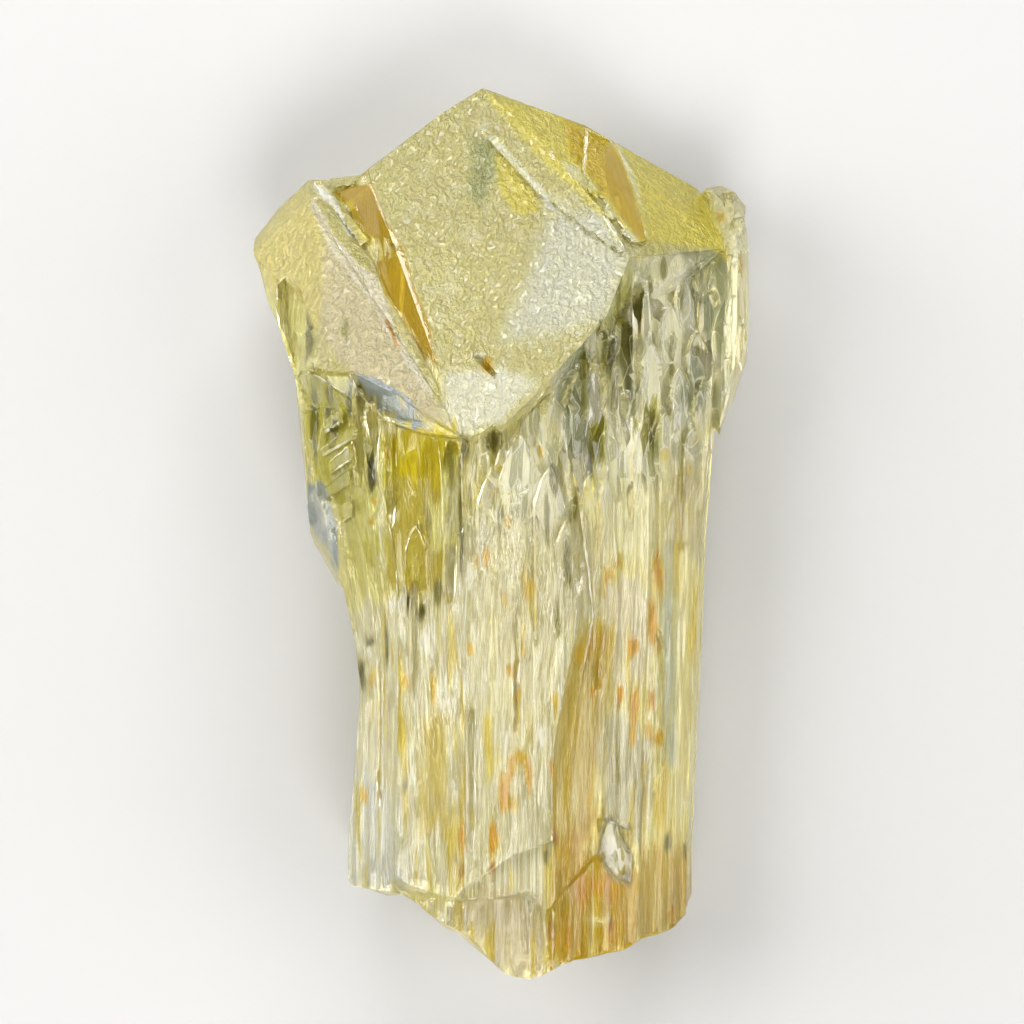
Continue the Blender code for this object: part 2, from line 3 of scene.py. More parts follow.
import bpy
import numpy as np
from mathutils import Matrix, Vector


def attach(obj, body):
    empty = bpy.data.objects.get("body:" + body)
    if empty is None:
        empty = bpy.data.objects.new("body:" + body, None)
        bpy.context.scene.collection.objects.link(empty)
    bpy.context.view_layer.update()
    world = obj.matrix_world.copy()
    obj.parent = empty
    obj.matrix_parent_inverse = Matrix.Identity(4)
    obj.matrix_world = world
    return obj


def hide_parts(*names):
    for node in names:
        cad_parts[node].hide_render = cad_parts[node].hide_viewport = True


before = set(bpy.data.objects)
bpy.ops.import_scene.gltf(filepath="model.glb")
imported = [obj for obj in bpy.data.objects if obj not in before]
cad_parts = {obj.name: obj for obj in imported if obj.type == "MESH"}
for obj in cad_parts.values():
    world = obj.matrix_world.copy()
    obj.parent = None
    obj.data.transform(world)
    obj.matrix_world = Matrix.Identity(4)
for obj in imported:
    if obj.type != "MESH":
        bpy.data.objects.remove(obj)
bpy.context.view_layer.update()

NODE = "marialite_crystal"
MM = 0.001

# The picture's middle, on a plane across the crystal, and its width there, in mm
VIEW_X, VIEW_Y, VIEW_PLANE = 0.656, 1.3125, 11.0
VIEW_WIDTH = 64.0

# The camera's focal length and sensor in mm, and how near and how far it sees in metres
LENS, SENSOR = 500.0, 36.0
NEAR_CLIP, FAR_CLIP = 0.01, 10.0

# The big pyramid face: its height at the tip and how it climbs toward the lip
TIP_Y, TIP_Z, SLOPE = 27.9, 8.6, 0.544

# How fine each part of the skin is: the longest edge along x, y and z, in mm
FRONT_EDGE = (0.18, 0.85, 0.8)
HEAD_EDGE = (0.42, 0.42, 0.42)
FOOT_EDGE = (0.5, 0.5, 0.5)
SIDE_EDGE = (0.6, 1.6, 0.9)
BACK_EDGE = (0.8, 2.4, 0.8)

# Where the heads start, the foot ends, and the sides and the back reach up to, in mm
HEAD_Y, FOOT_Y, SIDE_Z, BACK_Z = 5.5, -20.5, 8.0, 1.0

# Facets keep a sharp edge between them where they turn by more than this, in degrees
SHARP_ANGLE = 24

# Relief in layers: depth in mm, lumps along x, y and z in mm, seed, flat steps or 0
GROWTH_LINES = [(0.11, (0.75, 14.0, 0.75), 3, 4), (0.05, (0.38, 8.0, 0.38), 5, 3),
                (0.10, (2.4, 16.0, 2.4), 7, 0)]
FROST_GRAIN = [(0.022, (0.6, 0.9, 0.6), 11, 0), (0.016, (0.4, 0.4, 0.4), 12, 0)]
FOOT_CHIPS = [(0.14, (1.6, 1.6, 1.6), 13, 0), (0.05, (0.5, 0.5, 0.5), 15, 0)]
SCALE_DEPTH, SCALE_TOP = 0.2, 0.3

# The etched part of the front, right of the lip and under it, as (x, y)
ETCHED = [(6.2, 13.4), (8.2, 17.2), (9.4, 18.0), (14.0, 18.0), (14.0, 5.0), (9.0, 3.0),
          (3.0, 0.5), (-2.0, 1.0), (-1.4, 5.8), (0.6, 6.8), (3.4, 9.8)]

# How many small pointed scales cover the front
SCALES = 520

# The stepped corner under the left head, etched a little too
CORNER = [(-12.4, 9.8), (-9.4, 9.6), (-9.1, 5.6), (-9.8, 2.6), (-11.4, 3.6), (-12.4, 5.9)]

# The flat chips of the etched parts, and the noises that bend them: lumps in mm and a seed
CHIP_WIDTH, CHIP_LENGTH = 0.47, 2.3
BEND, FINE_BEND = ((2.2, 5.0, 2.2), 51), ((0.8, 2.0, 0.8), 52)
SLIDE = ((1.5, 3.5, 1.5), 53)

# The lower edge of the small left head, as frosted as the rest of it
SKIRT = [(-13.2, 12.7), (-9.8, 12.7), (-8.5, 10.1), (-9.3, 9.8), (-11.0, 9.9), (-12.4, 10.1)]

# The striated corner right under it
UNDER_HEAD = [(-12.6, 9.9), (-9.3, 9.7), (-8.1, 8.3), (-6.7, 6.8), (-2.0, 5.8), (-2.0, 3.9),
              (-12.6, 3.9)]

# The white fracture low on the front
BREAK = [(6.4, -17.8), (7.2, -17.9), (8.3, -20.3), (8.1, -21.9), (7.0, -21.6), (6.0, -20.0)]


# The mesh


def solid_skin(node):
    """The solid's corners in mm and its triangles, with doubled corners joined."""
    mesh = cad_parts[node].data
    mesh.calc_loop_triangles()
    spots = np.empty(len(mesh.vertices) * 3)
    mesh.vertices.foreach_get("co", spots)
    tris = np.empty(len(mesh.loop_triangles) * 3, dtype=np.int64)
    mesh.loop_triangles.foreach_get("vertices", tris)
    spots = spots.reshape(-1, 3) / MM
    _, first, same = np.unique(np.round(spots, 4), axis=0, return_index=True, return_inverse=True)
    tris = same.reshape(-1)[tris].reshape(-1, 3)
    whole = (tris[:, 0] != tris[:, 1]) & (tris[:, 1] != tris[:, 2]) & (tris[:, 2] != tris[:, 0])
    return spots[first], tris[whole]


def edges_of(tris):
    """Every edge once, and for each triangle which edges are its three sides."""
    sides = np.sort(tris[:, [[0, 1], [1, 2], [2, 0]]].reshape(-1, 2), axis=1)
    keys, which = np.unique(sides[:, 0] * (tris.max() + 1) + sides[:, 1], return_inverse=True)
    count = tris.max() + 1
    return np.stack([keys // count, keys % count], axis=1), which.reshape(-1, 3)


def halve(spots, tris, reach):
    """Halves each edge longer than reach allows, the same way for both its sides."""
    edges, sides = edges_of(tris)
    a, b = spots[edges[:, 0]], spots[edges[:, 1]]
    middle = (a + b) / 2
    long = np.sqrt((((b - a) / reach(middle)) ** 2).sum(axis=1)) > 1.0
    new = np.full(len(edges), -1)
    new[long] = len(spots) + np.arange(long.sum())
    spots = np.concatenate([spots, middle[long]])
    cut = new[sides]
    parts = [tris[(cut < 0).all(axis=1)]]
    for turn in range(3):
        t, c = np.roll(tris, -turn, axis=1), np.roll(cut, -turn, axis=1)
        one = (c[:, 0] >= 0) & (c[:, 1] < 0) & (c[:, 2] < 0)
        u, m = t[one], c[one, 0]
        parts += [np.stack([u[:, 0], m, u[:, 2]], 1), np.stack([m, u[:, 1], u[:, 2]], 1)]
        two = (c[:, 0] >= 0) & (c[:, 1] >= 0) & (c[:, 2] < 0)
        u, m, n = t[two], c[two, 0], c[two, 1]
        parts.append(np.stack([m, u[:, 1], n], 1))
        near = np.linalg.norm(spots[m] - spots[u[:, 2]], axis=1)
        far = np.linalg.norm(spots[n] - spots[u[:, 0]], axis=1)
        k = near < far
        parts += [np.stack([u[k, 0], m[k], u[k, 2]], 1), np.stack([m[k], n[k], u[k, 2]], 1)]
        k = ~k
        parts += [np.stack([u[k, 0], m[k], n[k]], 1), np.stack([u[k, 0], n[k], u[k, 2]], 1)]
    every = (cut >= 0).all(axis=1)
    u, m = tris[every], cut[every]
    parts += [np.stack([u[:, 0], m[:, 0], m[:, 2]], 1), np.stack([m[:, 0], u[:, 1], m[:, 1]], 1),
              np.stack([m[:, 2], m[:, 1], u[:, 2]], 1), m]
    return spots, np.concatenate(parts), bool(long.any())


def fine_reach(middle):
    """The longest edge allowed along x, y and z at each place, in mm."""
    y, z = middle[:, 1], middle[:, 2]
    below_face = 0.6
    reach = np.tile(FRONT_EDGE, (len(middle), 1))
    reach[(z > face_height(y) - below_face) & (y > HEAD_Y)] = HEAD_EDGE
    reach[y < FOOT_Y] = FOOT_EDGE
    reach[z < SIDE_Z] = SIDE_EDGE
    reach[z < BACK_Z] = BACK_EDGE
    return reach


def face_height(y):
    """Height of the big pyramid face at y."""
    return TIP_Z + SLOPE * (TIP_Y - y)


def corner_normals(spots, tris):
    """Each corner's normal, from the triangles round it by their areas."""
    a, b, c = spots[tris[:, 0]], spots[tris[:, 1]], spots[tris[:, 2]]
    face = np.cross(b - a, c - a)
    normals = np.zeros_like(spots)
    for corner in range(3):
        np.add.at(normals, tris[:, corner], face)
    return normals / np.maximum(np.linalg.norm(normals, axis=1, keepdims=True), 1e-12)


def ease(value, low, high):
    """Rises smoothly from 0 at low to 1 at high."""
    t = np.clip((value - low) / (high - low), 0.0, 1.0)
    return t * t * (3 - 2 * t)


# Large odd numbers that scramble a cell's place and a seed into one random value
SCRAMBLE = (73856093, 19349663, 83492791, 26544357)
SCRAMBLE_AGAIN = 1274126177

# How far apart two seeds next to each other lie in the noise, in lumps
SEED_STEP = 17.31


def grain(spots, size, seed):
    """Smooth noise from 0 to 1 with lumps of the size (x, y, z) in mm."""
    scaled = spots / np.array(size) + seed * SEED_STEP
    base = np.floor(scaled).astype(np.int64)
    part = scaled - base
    part = part * part * (3 - 2 * part)
    total = np.zeros(len(spots))
    for corner in product((0, 1), repeat=3):
        cell = base + np.array(corner)
        key = cell[:, 0] * SCRAMBLE[0] ^ cell[:, 1] * SCRAMBLE[1]
        key = key ^ cell[:, 2] * SCRAMBLE[2] ^ seed * SCRAMBLE[3]
        key = (key ^ (key >> 13)) * SCRAMBLE_AGAIN
        value = ((key ^ (key >> 16)) & 0xFFFF) / 0xFFFF
        total += value * np.prod(np.where(corner, part, 1 - part), axis=1)
    return total


def terrace(value, steps):
    """Turns a smooth rise into flat steps with steep risers."""
    t = value * steps
    return (np.floor(t) + ease(t - np.floor(t), 0.35, 0.65)) / steps


class Skin:
    """The crystal's fine skin: its corners, and what the paint needs of each."""

    def __init__(self, node):
        self.spots, self.tris = solid_skin(node)
        more = True
        while more:
            self.spots, self.tris, more = halve(self.spots, self.tris, fine_reach)
        self.normals = corner_normals(self.spots, self.tris)
        self.x, self.y, self.z = self.spots.T
        self.front = ease(self.normals[:, 2], 0.05, 0.35)
        self.facing = ease(self.normals[:, 2], -0.15, 0.1) * (self.z > 3.0)
        self.frosted = self.frost()
        self.prism = ease(-np.abs(self.normals[:, 1]), -0.75, -0.4)
        self.prism = np.maximum(self.prism, ease(inside(self.x, self.y, UNDER_HEAD), -0.1, 0.2))
        self.prism *= (1 - self.frosted) * (1 - glassy_walls(self))
        self.tint = np.ones((len(self.spots), 3))
        self.chips = chip_places(self)
        self.scales, self.rims = etch_scales(self)
        self.etched = np.maximum(ease(inside(self.x, self.y, ETCHED), -0.6, 0.5),
                                 0.75 * ease(inside(self.x, self.y, CORNER), -0.2, 0.3))
        self.etched *= self.prism * self.facing
        self.broken = ease(inside(self.x, self.y, BREAK), -0.15, 0.25) * self.facing
        self.depth = wear(self)

    def over(self, mask, colour, share=1.0):
        """Lays a colour over the tint where the mask says, as one stain over another."""
        part = (mask * share)[:, None]
        self.tint = self.tint ** (1 - part) * colour ** part

    def frost(self):
        """1 on the frosted pyramid faces, 0 elsewhere."""
        big = ease(-np.abs(self.z - face_height(self.y)), -0.35, -0.1)
        big *= ease(self.normals[:, 1], 0.15, 0.35)
        side = ease(self.normals[:, 1], 0.12, 0.3) * ease(self.y, HEAD_Y, HEAD_Y + 2.5)
        skirt = ease(inside(self.x, self.y, SKIRT), -0.1, 0.2) * ease(self.normals[:, 2], 0.1, 0.3)
        frost = np.clip(big + side * (self.z > 4.0) + skirt, 0.0, 1.0)
        return frost * (1 - glassy_walls(self))


def glassy_walls(skin):
    """1 on the smooth gold walls of the cleft and of the wedge, 0 elsewhere."""
    glassy = np.zeros(len(skin.x))
    for colour, _, soft, outline in ZONES:
        if colour is AMBER or colour is WEDGE:
            glassy = np.maximum(glassy, ease(inside(skin.x, skin.y, outline), -soft, soft))
    return glassy * (skin.y > HEAD_Y)


def etch_scales(skin):
    """Small pointed scales, overlapping like shingles: their heights and their rims."""
    rng = np.random.default_rng(5)
    height, rim = np.zeros(len(skin.x)), np.zeros(len(skin.x))
    for _ in range(SCALES):
        middle, top = rng.uniform(-12.0, 13.8), rng.uniform(-22.0, 17.5)
        etched = inside(np.array([middle]), np.array([top]), ETCHED)[0] > 0
        half = rng.uniform(0.22, 0.7) if etched else rng.uniform(0.12, 0.4)
        length = half * (rng.uniform(3.0, 7.0) if etched else rng.uniform(12.0, 40.0))
        lift = rng.uniform(0.1, 0.34) if etched else rng.uniform(0.04, 0.14)
        down = top - skin.y
        near = (down > 0) & (down < length) & (np.abs(skin.x - middle) < half)
        reach = half * np.clip(down[near] / (1.7 * half), 0, 1) ** 0.6
        edge = reach - np.abs(skin.x[near] - middle)
        fade = 1 - down[near] / length
        lean = 1 + 0.4 * (skin.x[near] - middle) / half
        height[near] = np.maximum(height[near], lift * fade * lean * ease(edge, 0.0, 0.1))
        if etched:
            band = ease(edge, -0.02, 0.05) * (1 - ease(edge, 0.08, 0.2))
            rim[near] = np.maximum(rim[near], band * ease(fade, 0.1, 0.5))
    return height, rim


def chip_places(skin):
    """Where each corner lies among the chips, bent so that no chip is quite straight."""
    bend = grain(skin.spots, *BEND) + 0.5 * grain(skin.spots, *FINE_BEND)
    slide = grain(skin.spots, *SLIDE)
    finer = 1 + 0.9 * ease(inside(skin.x, skin.y, BREAK), -0.15, 0.25)
    across = (skin.x + 1.1 * bend) * finer / CHIP_WIDTH
    along = (skin.y + 2.4 * slide) * finer * finer / CHIP_LENGTH
    return np.column_stack([across, along, np.zeros(len(across))])


def relief(spots, layers):
    """Layers of lumps or flat steps, added up, in mm."""
    total = np.zeros(len(spots))
    for deep, size, seed, steps in layers:
        rise = grain(spots, size, seed)
        total += deep * (terrace(rise, steps) if steps else rise)
    return total


def wear(skin):
    """How deep the growth lines, the frost and the chips go at each corner, in mm."""
    ribs = relief(skin.spots, GROWTH_LINES) + SCALE_DEPTH * np.maximum(SCALE_TOP - skin.scales, 0)
    rest = np.clip(1 - skin.prism - skin.frosted, 0, 1) * ease(-skin.y, -4.0, 2.0)
    depth = ribs * skin.prism + relief(skin.spots, FROST_GRAIN) * skin.frosted
    depth += relief(skin.spots, FOOT_CHIPS) * rest
    on_back = ease(-skin.z, -0.5, -0.1)
    return depth * (1 - on_back)


def crystal_piece(skin):
    """The mesh object made from the skin, with its paint stored on the corners."""
    moved = (skin.spots - skin.normals * skin.depth[:, None]) * MM
    mesh = bpy.data.meshes.new("crystal_skin")
    mesh.from_pydata(moved.tolist(), [], skin.tris.tolist())
    mesh.polygons.foreach_set("use_smooth", [True] * len(mesh.polygons))
    mesh.set_sharp_from_angle(angle=np.radians(SHARP_ANGLE))
    tint = mesh.attributes.new("tint", "FLOAT_COLOR", "POINT")
    tint.data.foreach_set("color", np.column_stack([skin.tint, np.ones(len(skin.tint))]).ravel())
    finish = mesh.attributes.new("finish", "FLOAT_COLOR", "POINT")
    finish.data.foreach_set("color", np.column_stack(
        [skin.frosted, skin.prism, skin.etched, skin.broken]).ravel())
    chips = mesh.attributes.new("chips", "FLOAT_VECTOR", "POINT")
    chips.data.foreach_set("vector", skin.chips.ravel())
    piece = bpy.data.objects.new("crystal_skin", mesh)
    bpy.context.scene.collection.objects.link(piece)
    return piece


# The paint


# How much richer the yellows are made, and the least light that a colour keeps
RICHER, DARKEST = 0.7, 0.004


def srgb(red, green, blue):
    """A colour as linear light from its values out of 255. Yellows are made richer,
    because the gloss and the white light in the crystal pale them again."""
    value = np.array([red, green, blue]) / 255
    light = np.where(value <= 0.04045, value / 12.92, ((value + 0.055) / 1.055) ** 2.4)
    light[2] *= min(1.0, light[2] / light[1]) ** RICHER
    return np.maximum(light, DARKEST)


CLEAR = srgb(240, 233, 192)
CREAM = srgb(220, 219, 204)
CREAM_LIGHT = srgb(231, 227, 203)
PALE_GREEN = srgb(208, 216, 223)
STRAW = srgb(213, 211, 156)
OLIVE = srgb(193, 190, 112)
GOLD_OLIVE = srgb(193, 179, 97)
GOLD = srgb(220, 201, 18)
WEDGE = srgb(200, 165, 0)
LEMON = srgb(250, 250, 202)
LEMON_LIGHT = srgb(250, 250, 236)
ETCH = srgb(250, 250, 250)
GREY = srgb(148, 156, 143)
OLIVE_DARK = srgb(114, 112, 21)
ROSE = srgb(197, 190, 172)
BONE = srgb(231, 225, 215)
GREY_PALE = srgb(186, 186, 180)
STEEL = srgb(153, 170, 195)
TAN = srgb(204, 178, 113)
BROWN = srgb(199, 159, 52)
TAN_DARK = srgb(196, 164, 86)
PALE_OLIVE = srgb(221, 210, 194)
FROST = srgb(197, 190, 148)
# A whiter frost, laid on as a painted sheen
FROST_SHEEN_WHITE = srgb(218, 222, 217)
WHITE = srgb(243, 247, 250)
SMUDGE = srgb(133, 143, 107)
GOLD_PALE = srgb(221, 206, 114)
HONEY_PALE = srgb(229, 216, 126)
HONEY = srgb(216, 182, 3)
LOBE = srgb(212, 199, 145)
ROSE_PALE = srgb(205, 194, 173)
AMBER = srgb(173, 138, 2)
HOLLOW_OLIVE = srgb(250, 250, 220)
RUST = srgb(213, 152, 2)
RED_BROWN = srgb(150, 86, 4)
CLEAR_WHITE = srgb(252, 252, 248)
DARK_OLIVE = srgb(66, 64, 12)

# Tinted zones of the front: colour, strength, softness of the edge in mm, outline (x, y)
ZONES = [
    (CREAM, 0.9, 0.5, [(-9.5, -4.2), (-1.3, 0.8), (3.7, 3.3), (6.2, -1.7), (6.2, -10.4),
         (3.7, -20.4), (2.4, -21.7), (-9.5, -22.3)]),
    (PALE_GREEN, 0.8, 0.5, [(-10.2, -13.6), (-8.1, -14.8), (-6.2, -16.7), (-6.2, -21.9),
         (-9.9, -22.4)]),
    (STRAW, 0.85, 0.4, [(-9.5, 8.3), (-8.1, 6.6), (-7.2, 6.3), (-7.2, -4.2), (-9.5, -5.1),
         (-10.0, -1.7), (-9.7, 2.1)]),
    (OLIVE, 0.8, 0.3, [(-12.3, 10.1), (-9.5, 9.9), (-9.3, 8.3), (-9.3, 5.8), (-9.7, 2.1),
         (-10.2, 0.8), (-11.6, 3.4), (-12.3, 5.8)]),
    (GOLD_OLIVE, 0.9, 0.35, [(-7.3, 4.1), (-3.7, 3.6), (-3.3, 0.8), (-3.7, -4.0), (-7.3, -4.0)]),
    (GOLD, 0.95, 0.2, [(-7.4, 6.4), (-4.5, 6.2), (-2.4, 5.8), (-3.1, 3.3), (-4.0, 3.1),
         (-6.3, 3.2), (-7.3, 3.6)]),
    (LEMON, 0.95, 0.15, [(-2.5, 5.6), (-2.7, 2.1), (-2.8, -1.3), (-4.2, -1.3), (-4.4, 1.7),
         (-3.8, 3.0), (-3.2, 4.9)]),
    (LEMON, 0.8, 0.2, [(-8.6, 2.1), (-7.7, 2.1), (-7.7, -0.5), (-8.6, -0.5)]),
    (OLIVE, 0.6, 0.2, [(-8.6, -0.5), (-7.7, -0.5), (-7.7, -1.7), (-8.6, -1.7)]),
    (LEMON, 0.6, 0.2, [(-8.0, 4.4), (-6.9, 4.4), (-6.9, 1.6), (-8.0, 1.6)]),
    (TAN_DARK, 0.4, 0.4, [(-5.2, -11.2), (-3.4, -11.2), (-3.4, -18.8), (-5.2, -18.8)]),
    (CREAM_LIGHT, 0.8, 0.4, [(-1.3, -1.7), (1.2, 3.3), (3.7, 2.1), (3.7, -6.7), (2.7, -14.2),
         (-0.1, -16.7), (-1.3, -10.4)]),
    (LEMON_LIGHT, 0.9, 0.2, [(2.2, 7.1), (1.2, 6.1), (-0.2, 4.7), (-0.8, 2.6), (1.8, 1.8),
         (3.8, 3.2), (3.2, 5.8)]),
    (ETCH, 0.85, 0.4, [(6.5, 13.3), (8.3, 17.1), (9.2, 17.9), (13.8, 17.7), (14.2, 14.6),
         (13.8, 8.3), (12.4, 5.8), (8.7, 3.9), (5.9, 3.3), (3.0, 6.4), (2.7, 7.4), (3.7, 11.4)]),
    (LEMON_LIGHT, 0.85, 0.3, [(8.4, 12.6), (9.6, 15.2), (11.2, 15.3), (11.4, 12.0), (11.2, 8.2),
         (9.9, 7.8), (8.6, 9.8)]),
    (LEMON_LIGHT, 0.85, 0.3, [(6.9, 8.4), (8.6, 8.4), (8.8, 4.6), (7.0, 4.2)]),
    (LEMON_LIGHT, 0.7, 0.5, [(6.2, 4.7), (9.9, 5.1), (10.4, 2.1), (9.9, -1.7), (5.5, -2.3),
         (5.2, 2.1)]),
    (GREY, 0.92, 0.12, [(11.3, 17.8), (13.9, 17.7), (14.1, 14.6), (13.8, 10.9), (13.2, 11.8),
         (12.4, 14.6), (11.7, 15.5)]),
    (GREY, 0.9, 0.12, [(11.3, 9.7), (12.4, 10.6), (12.9, 10.1), (12.9, 7.6), (11.8, 7.1),
         (11.2, 8.0)]),
    (GREY, 0.85, 0.12, [(3.8, 11.4), (5.4, 12.4), (5.5, 8.3), (5.5, 4.9), (4.4, 5.2),
         (3.5, 7.6)]),
    (GREY, 0.8, 0.1, [(8.7, 16.9), (9.4, 16.9), (9.3, 15.4), (8.5, 15.7)]),
    (OLIVE_DARK, 0.85, 0.15, [(6.5, 13.2), (8.2, 16.9), (8.2, 15.1), (7.5, 12.7), (6.8, 11.9)]),
    (OLIVE_DARK, 0.8, 0.12, [(5.6, 6.8), (6.7, 6.4), (6.5, 3.9), (5.7, 3.2)]),
    (LEMON_LIGHT, 0.9, 0.12, [(9.3, 13.7), (10.4, 13.4), (11.2, 12.2), (9.6, 12.3), (8.3, 11.7),
         (8.7, 12.9)]),
    (ROSE, 0.75, 0.5, [(10.6, 5.6), (13.7, 5.8), (13.4, -1.6), (10.4, -1.6)]),
    (LEMON_LIGHT, 0.9, 0.25, [(14.0, 14.6), (14.8, 20.8), (15.7, 18.3), (15.7, 8.3), (13.8, 6.3),
         (13.8, 10.8)]),
    (CREAM_LIGHT, 0.7, 0.2, [(12.4, 21.7), (14.6, 21.8), (15.4, 20.6), (14.9, 18.3),
         (14.2, 17.9), (12.7, 19.9)]),
    (TAN_DARK, 0.6, 0.25, [(10.2, -0.4), (11.3, -0.4), (11.3, -4.3), (10.2, -4.3)]),
    (OLIVE_DARK, 0.4, 0.25, [(8.8, 8.3), (10.0, 8.3), (10.0, 4.9), (8.8, 4.9)]),
    (BONE, 0.85, 0.3, [(6.2, -3.2), (9.6, -2.9), (9.4, -6.7), (8.7, -9.8), (7.3, -9.8),
         (5.9, -6.7)]),
    (GREY_PALE, 0.75, 0.4, [(6.2, -10.4), (9.4, -12.9), (9.4, -16.7), (8.7, -19.8), (6.8, -17.9),
         (6.0, -14.2)]),
    (STEEL, 0.55, 0.3, [(10.2, -0.4), (10.9, -0.4), (11.0, -14.2), (10.0, -14.8)]),
    (TAN, 0.85, 0.25, [(4.1, -9.6), (5.2, -5.7), (7.1, -5.6), (7.0, -9.2), (6.2, -12.9),
         (5.7, -16.7), (3.8, -20.6), (3.2, -19.7), (3.4, -14.2)]),
    (BROWN, 0.85, 0.3, [(3.2, -19.8), (5.9, -17.1), (7.4, -20.4), (8.9, -21.7), (8.7, -25.9),
         (6.2, -27.0), (3.7, -26.8), (2.5, -27.4), (2.9, -22.9)]),
    (TAN_DARK, 0.9, 0.4, [(8.8, -19.9), (12.3, -19.3), (12.3, -22.9), (11.3, -25.1),
         (8.8, -25.4)]),
    (PALE_OLIVE, 0.8, 0.5, [(-0.4, -21.7), (2.7, -21.7), (2.7, -27.6), (1.2, -27.9),
         (-1.3, -25.8), (-3.8, -23.7)]),
    # Painted light: the plate's sloped lower face, turned away from the lamps, is painted lighter
    (LEMON_LIGHT, 0.9, 0.3, [(-2.8, -22.4), (0.5, -19.9), (3.2, -19.4), (3.2, -22.0), (2.2, -23.2),
         (0.8, -22.3)]),
    # Painted sheen: the lower right of the big frosted face is painted whiter
    (FROST_SHEEN_WHITE, 0.85, 0.9, [(2.9, 19.9), (6.2, 20.5), (8.2, 17.3), (6.8, 13.4), (3.7, 12.3),
         (-0.1, 11.8), (1.2, 15.2)]),
    (WHITE, 0.75, 0.5, [(-3.5, 10.1), (-0.1, 10.3), (2.4, 9.4), (-0.1, 6.8), (-2.5, 6.1),
         (-3.8, 7.7)]),
    (SMUDGE, 0.75, 0.5, [(-2.0, 24.7), (-0.6, 24.6), (-0.3, 22.7), (-1.3, 20.5), (-2.1, 21.4),
         (-1.7, 23.3)]),
    (GOLD_PALE, 0.85, 0.15, [(-0.5, 23.9), (0.4, 23.1), (2.0, 21.2), (2.2, 20.1), (1.0, 19.8),
         (-0.1, 21.1)]),
    (WHITE, 0.9, 0.1, [(-1.5, 25.4), (-1.2, 25.4), (0.9, 23.1), (2.7, 21.3), (3.8, 19.9),
         (2.9, 20.2), (1.9, 21.6), (0.4, 23.3)]),
    (HONEY_PALE, 0.9, 0.3, [(-1.1, 27.6), (3.7, 26.3), (12.7, 21.8), (14.0, 17.8), (8.7, 18.2),
         (6.1, 20.0), (1.9, 23.9)]),
    (HONEY, 0.85, 0.3, [(3.8, 25.9), (6.5, 24.8), (7.2, 23.3), (7.5, 20.6), (6.4, 21.1),
         (4.4, 23.6)]),
    (WEDGE, 0.95, 0.1, [(6.7, 24.8), (7.3, 23.9), (8.2, 21.4), (9.0, 18.4), (8.7, 18.1),
         (7.0, 20.5), (6.5, 22.7)]),
    (LEMON_LIGHT, 0.9, 0.08, [(7.0, 24.5), (7.4, 24.4), (8.7, 21.7), (8.9, 19.8), (8.4, 21.4)]),
    (HONEY_PALE, 0.8, 0.4, [(7.8, 24.1), (12.4, 21.8), (13.9, 17.9), (9.4, 18.3), (8.7, 21.4)]),
    (LEMON_LIGHT, 0.8, 0.15, [(3.7, 23.3), (4.9, 23.0), (6.2, 21.4), (5.7, 21.4), (4.3, 22.3)]),
    (WHITE, 0.7, 0.12, [(5.8, 21.1), (6.5, 20.8), (7.5, 19.3), (8.7, 18.1), (7.8, 18.3),
         (6.5, 19.9)]),
    (LOBE, 0.9, 0.35, [(-15.7, 17.7), (-12.6, 21.7), (-11.5, 20.5), (-11.0, 17.7), (-11.0, 12.6),
         (-12.1, 12.6), (-14.6, 15.7)]),
    (ROSE_PALE, 0.92, 0.35, [(-11.1, 18.3), (-9.8, 16.9), (-8.2, 15.2), (-7.3, 13.3),
         (-3.2, 6.8), (-6.3, 7.6), (-9.5, 10.1), (-11.3, 12.6)]),
    (AMBER, 0.96, 0.08, [(-10.5, 21.4), (-8.2, 21.9), (-7.2, 19.4), (-6.3, 18.1), (-6.2, 17.7),
         (-6.8, 17.9), (-8.5, 18.6), (-9.5, 20.1)]),
    (HONEY_PALE, 0.8, 0.1, [(-9.5, 20.1), (-8.5, 18.6), (-6.8, 17.9), (-7.8, 17.8),
         (-8.8, 18.3)]),
    (AMBER, 0.96, 0.1, [(-7.9, 16.9), (-6.2, 17.9), (-5.4, 15.2), (-4.5, 12.7), (-4.0, 10.3),
         (-4.8, 11.1), (-6.3, 13.5), (-7.2, 14.9)]),
    (WHITE, 0.95, 0.08, [(-12.0, 21.9), (-11.2, 21.7), (-10.3, 20.8), (-9.8, 19.6), (-9.0, 18.3),
         (-9.6, 18.6), (-10.5, 20.4), (-11.3, 20.9)]),
    (BONE, 0.95, 0.1, [(-12.2, 20.8), (-11.6, 20.7), (-10.6, 18.8), (-9.0, 16.9), (-7.8, 16.1),
         (-6.7, 12.9), (-4.1, 8.6), (-4.8, 8.8), (-7.3, 12.7), (-8.3, 14.6), (-10.7, 17.7)]),
    (RED_BROWN, 0.7, 0.08, [(-7.4, 13.3), (-7.1, 13.2), (-6.2, 11.4), (-6.6, 11.8)]),
    (STEEL, 0.95, 0.1, [(-9.3, 9.9), (-7.7, 9.6), (-5.8, 8.4), (-4.7, 6.7), (-7.0, 7.1),
         (-8.5, 8.6)]),
    (HONEY_PALE, 0.9, 0.15, [(-7.0, 7.1), (-3.2, 6.6), (-2.5, 5.8), (-4.5, 6.1)]),
    (HOLLOW_OLIVE, 0.5, 0.12, [(-13.7, 16.1), (-12.8, 15.3), (-11.9, 12.7), (-11.9, 9.8),
         (-12.5, 10.2), (-13.3, 13.0)]),
    (LEMON, 0.9, 0.12, [(-13.5, 15.5), (-12.8, 14.6), (-12.3, 11.8), (-12.7, 11.8),
         (-13.3, 13.8)]),
    (LEMON, 0.8, 0.25, [(-15.6, 17.3), (-15.0, 15.7), (-13.6, 13.0), (-12.5, 10.1), (-12.4, 6.8),
         (-13.1, 8.9), (-15.0, 14.6)]),
    (STEEL, 0.9, 0.12, [(-12.2, 3.9), (-11.3, 2.8), (-10.3, -0.2), (-10.3, -2.1), (-11.3, -0.9),
         (-12.2, 0.7)]),
]

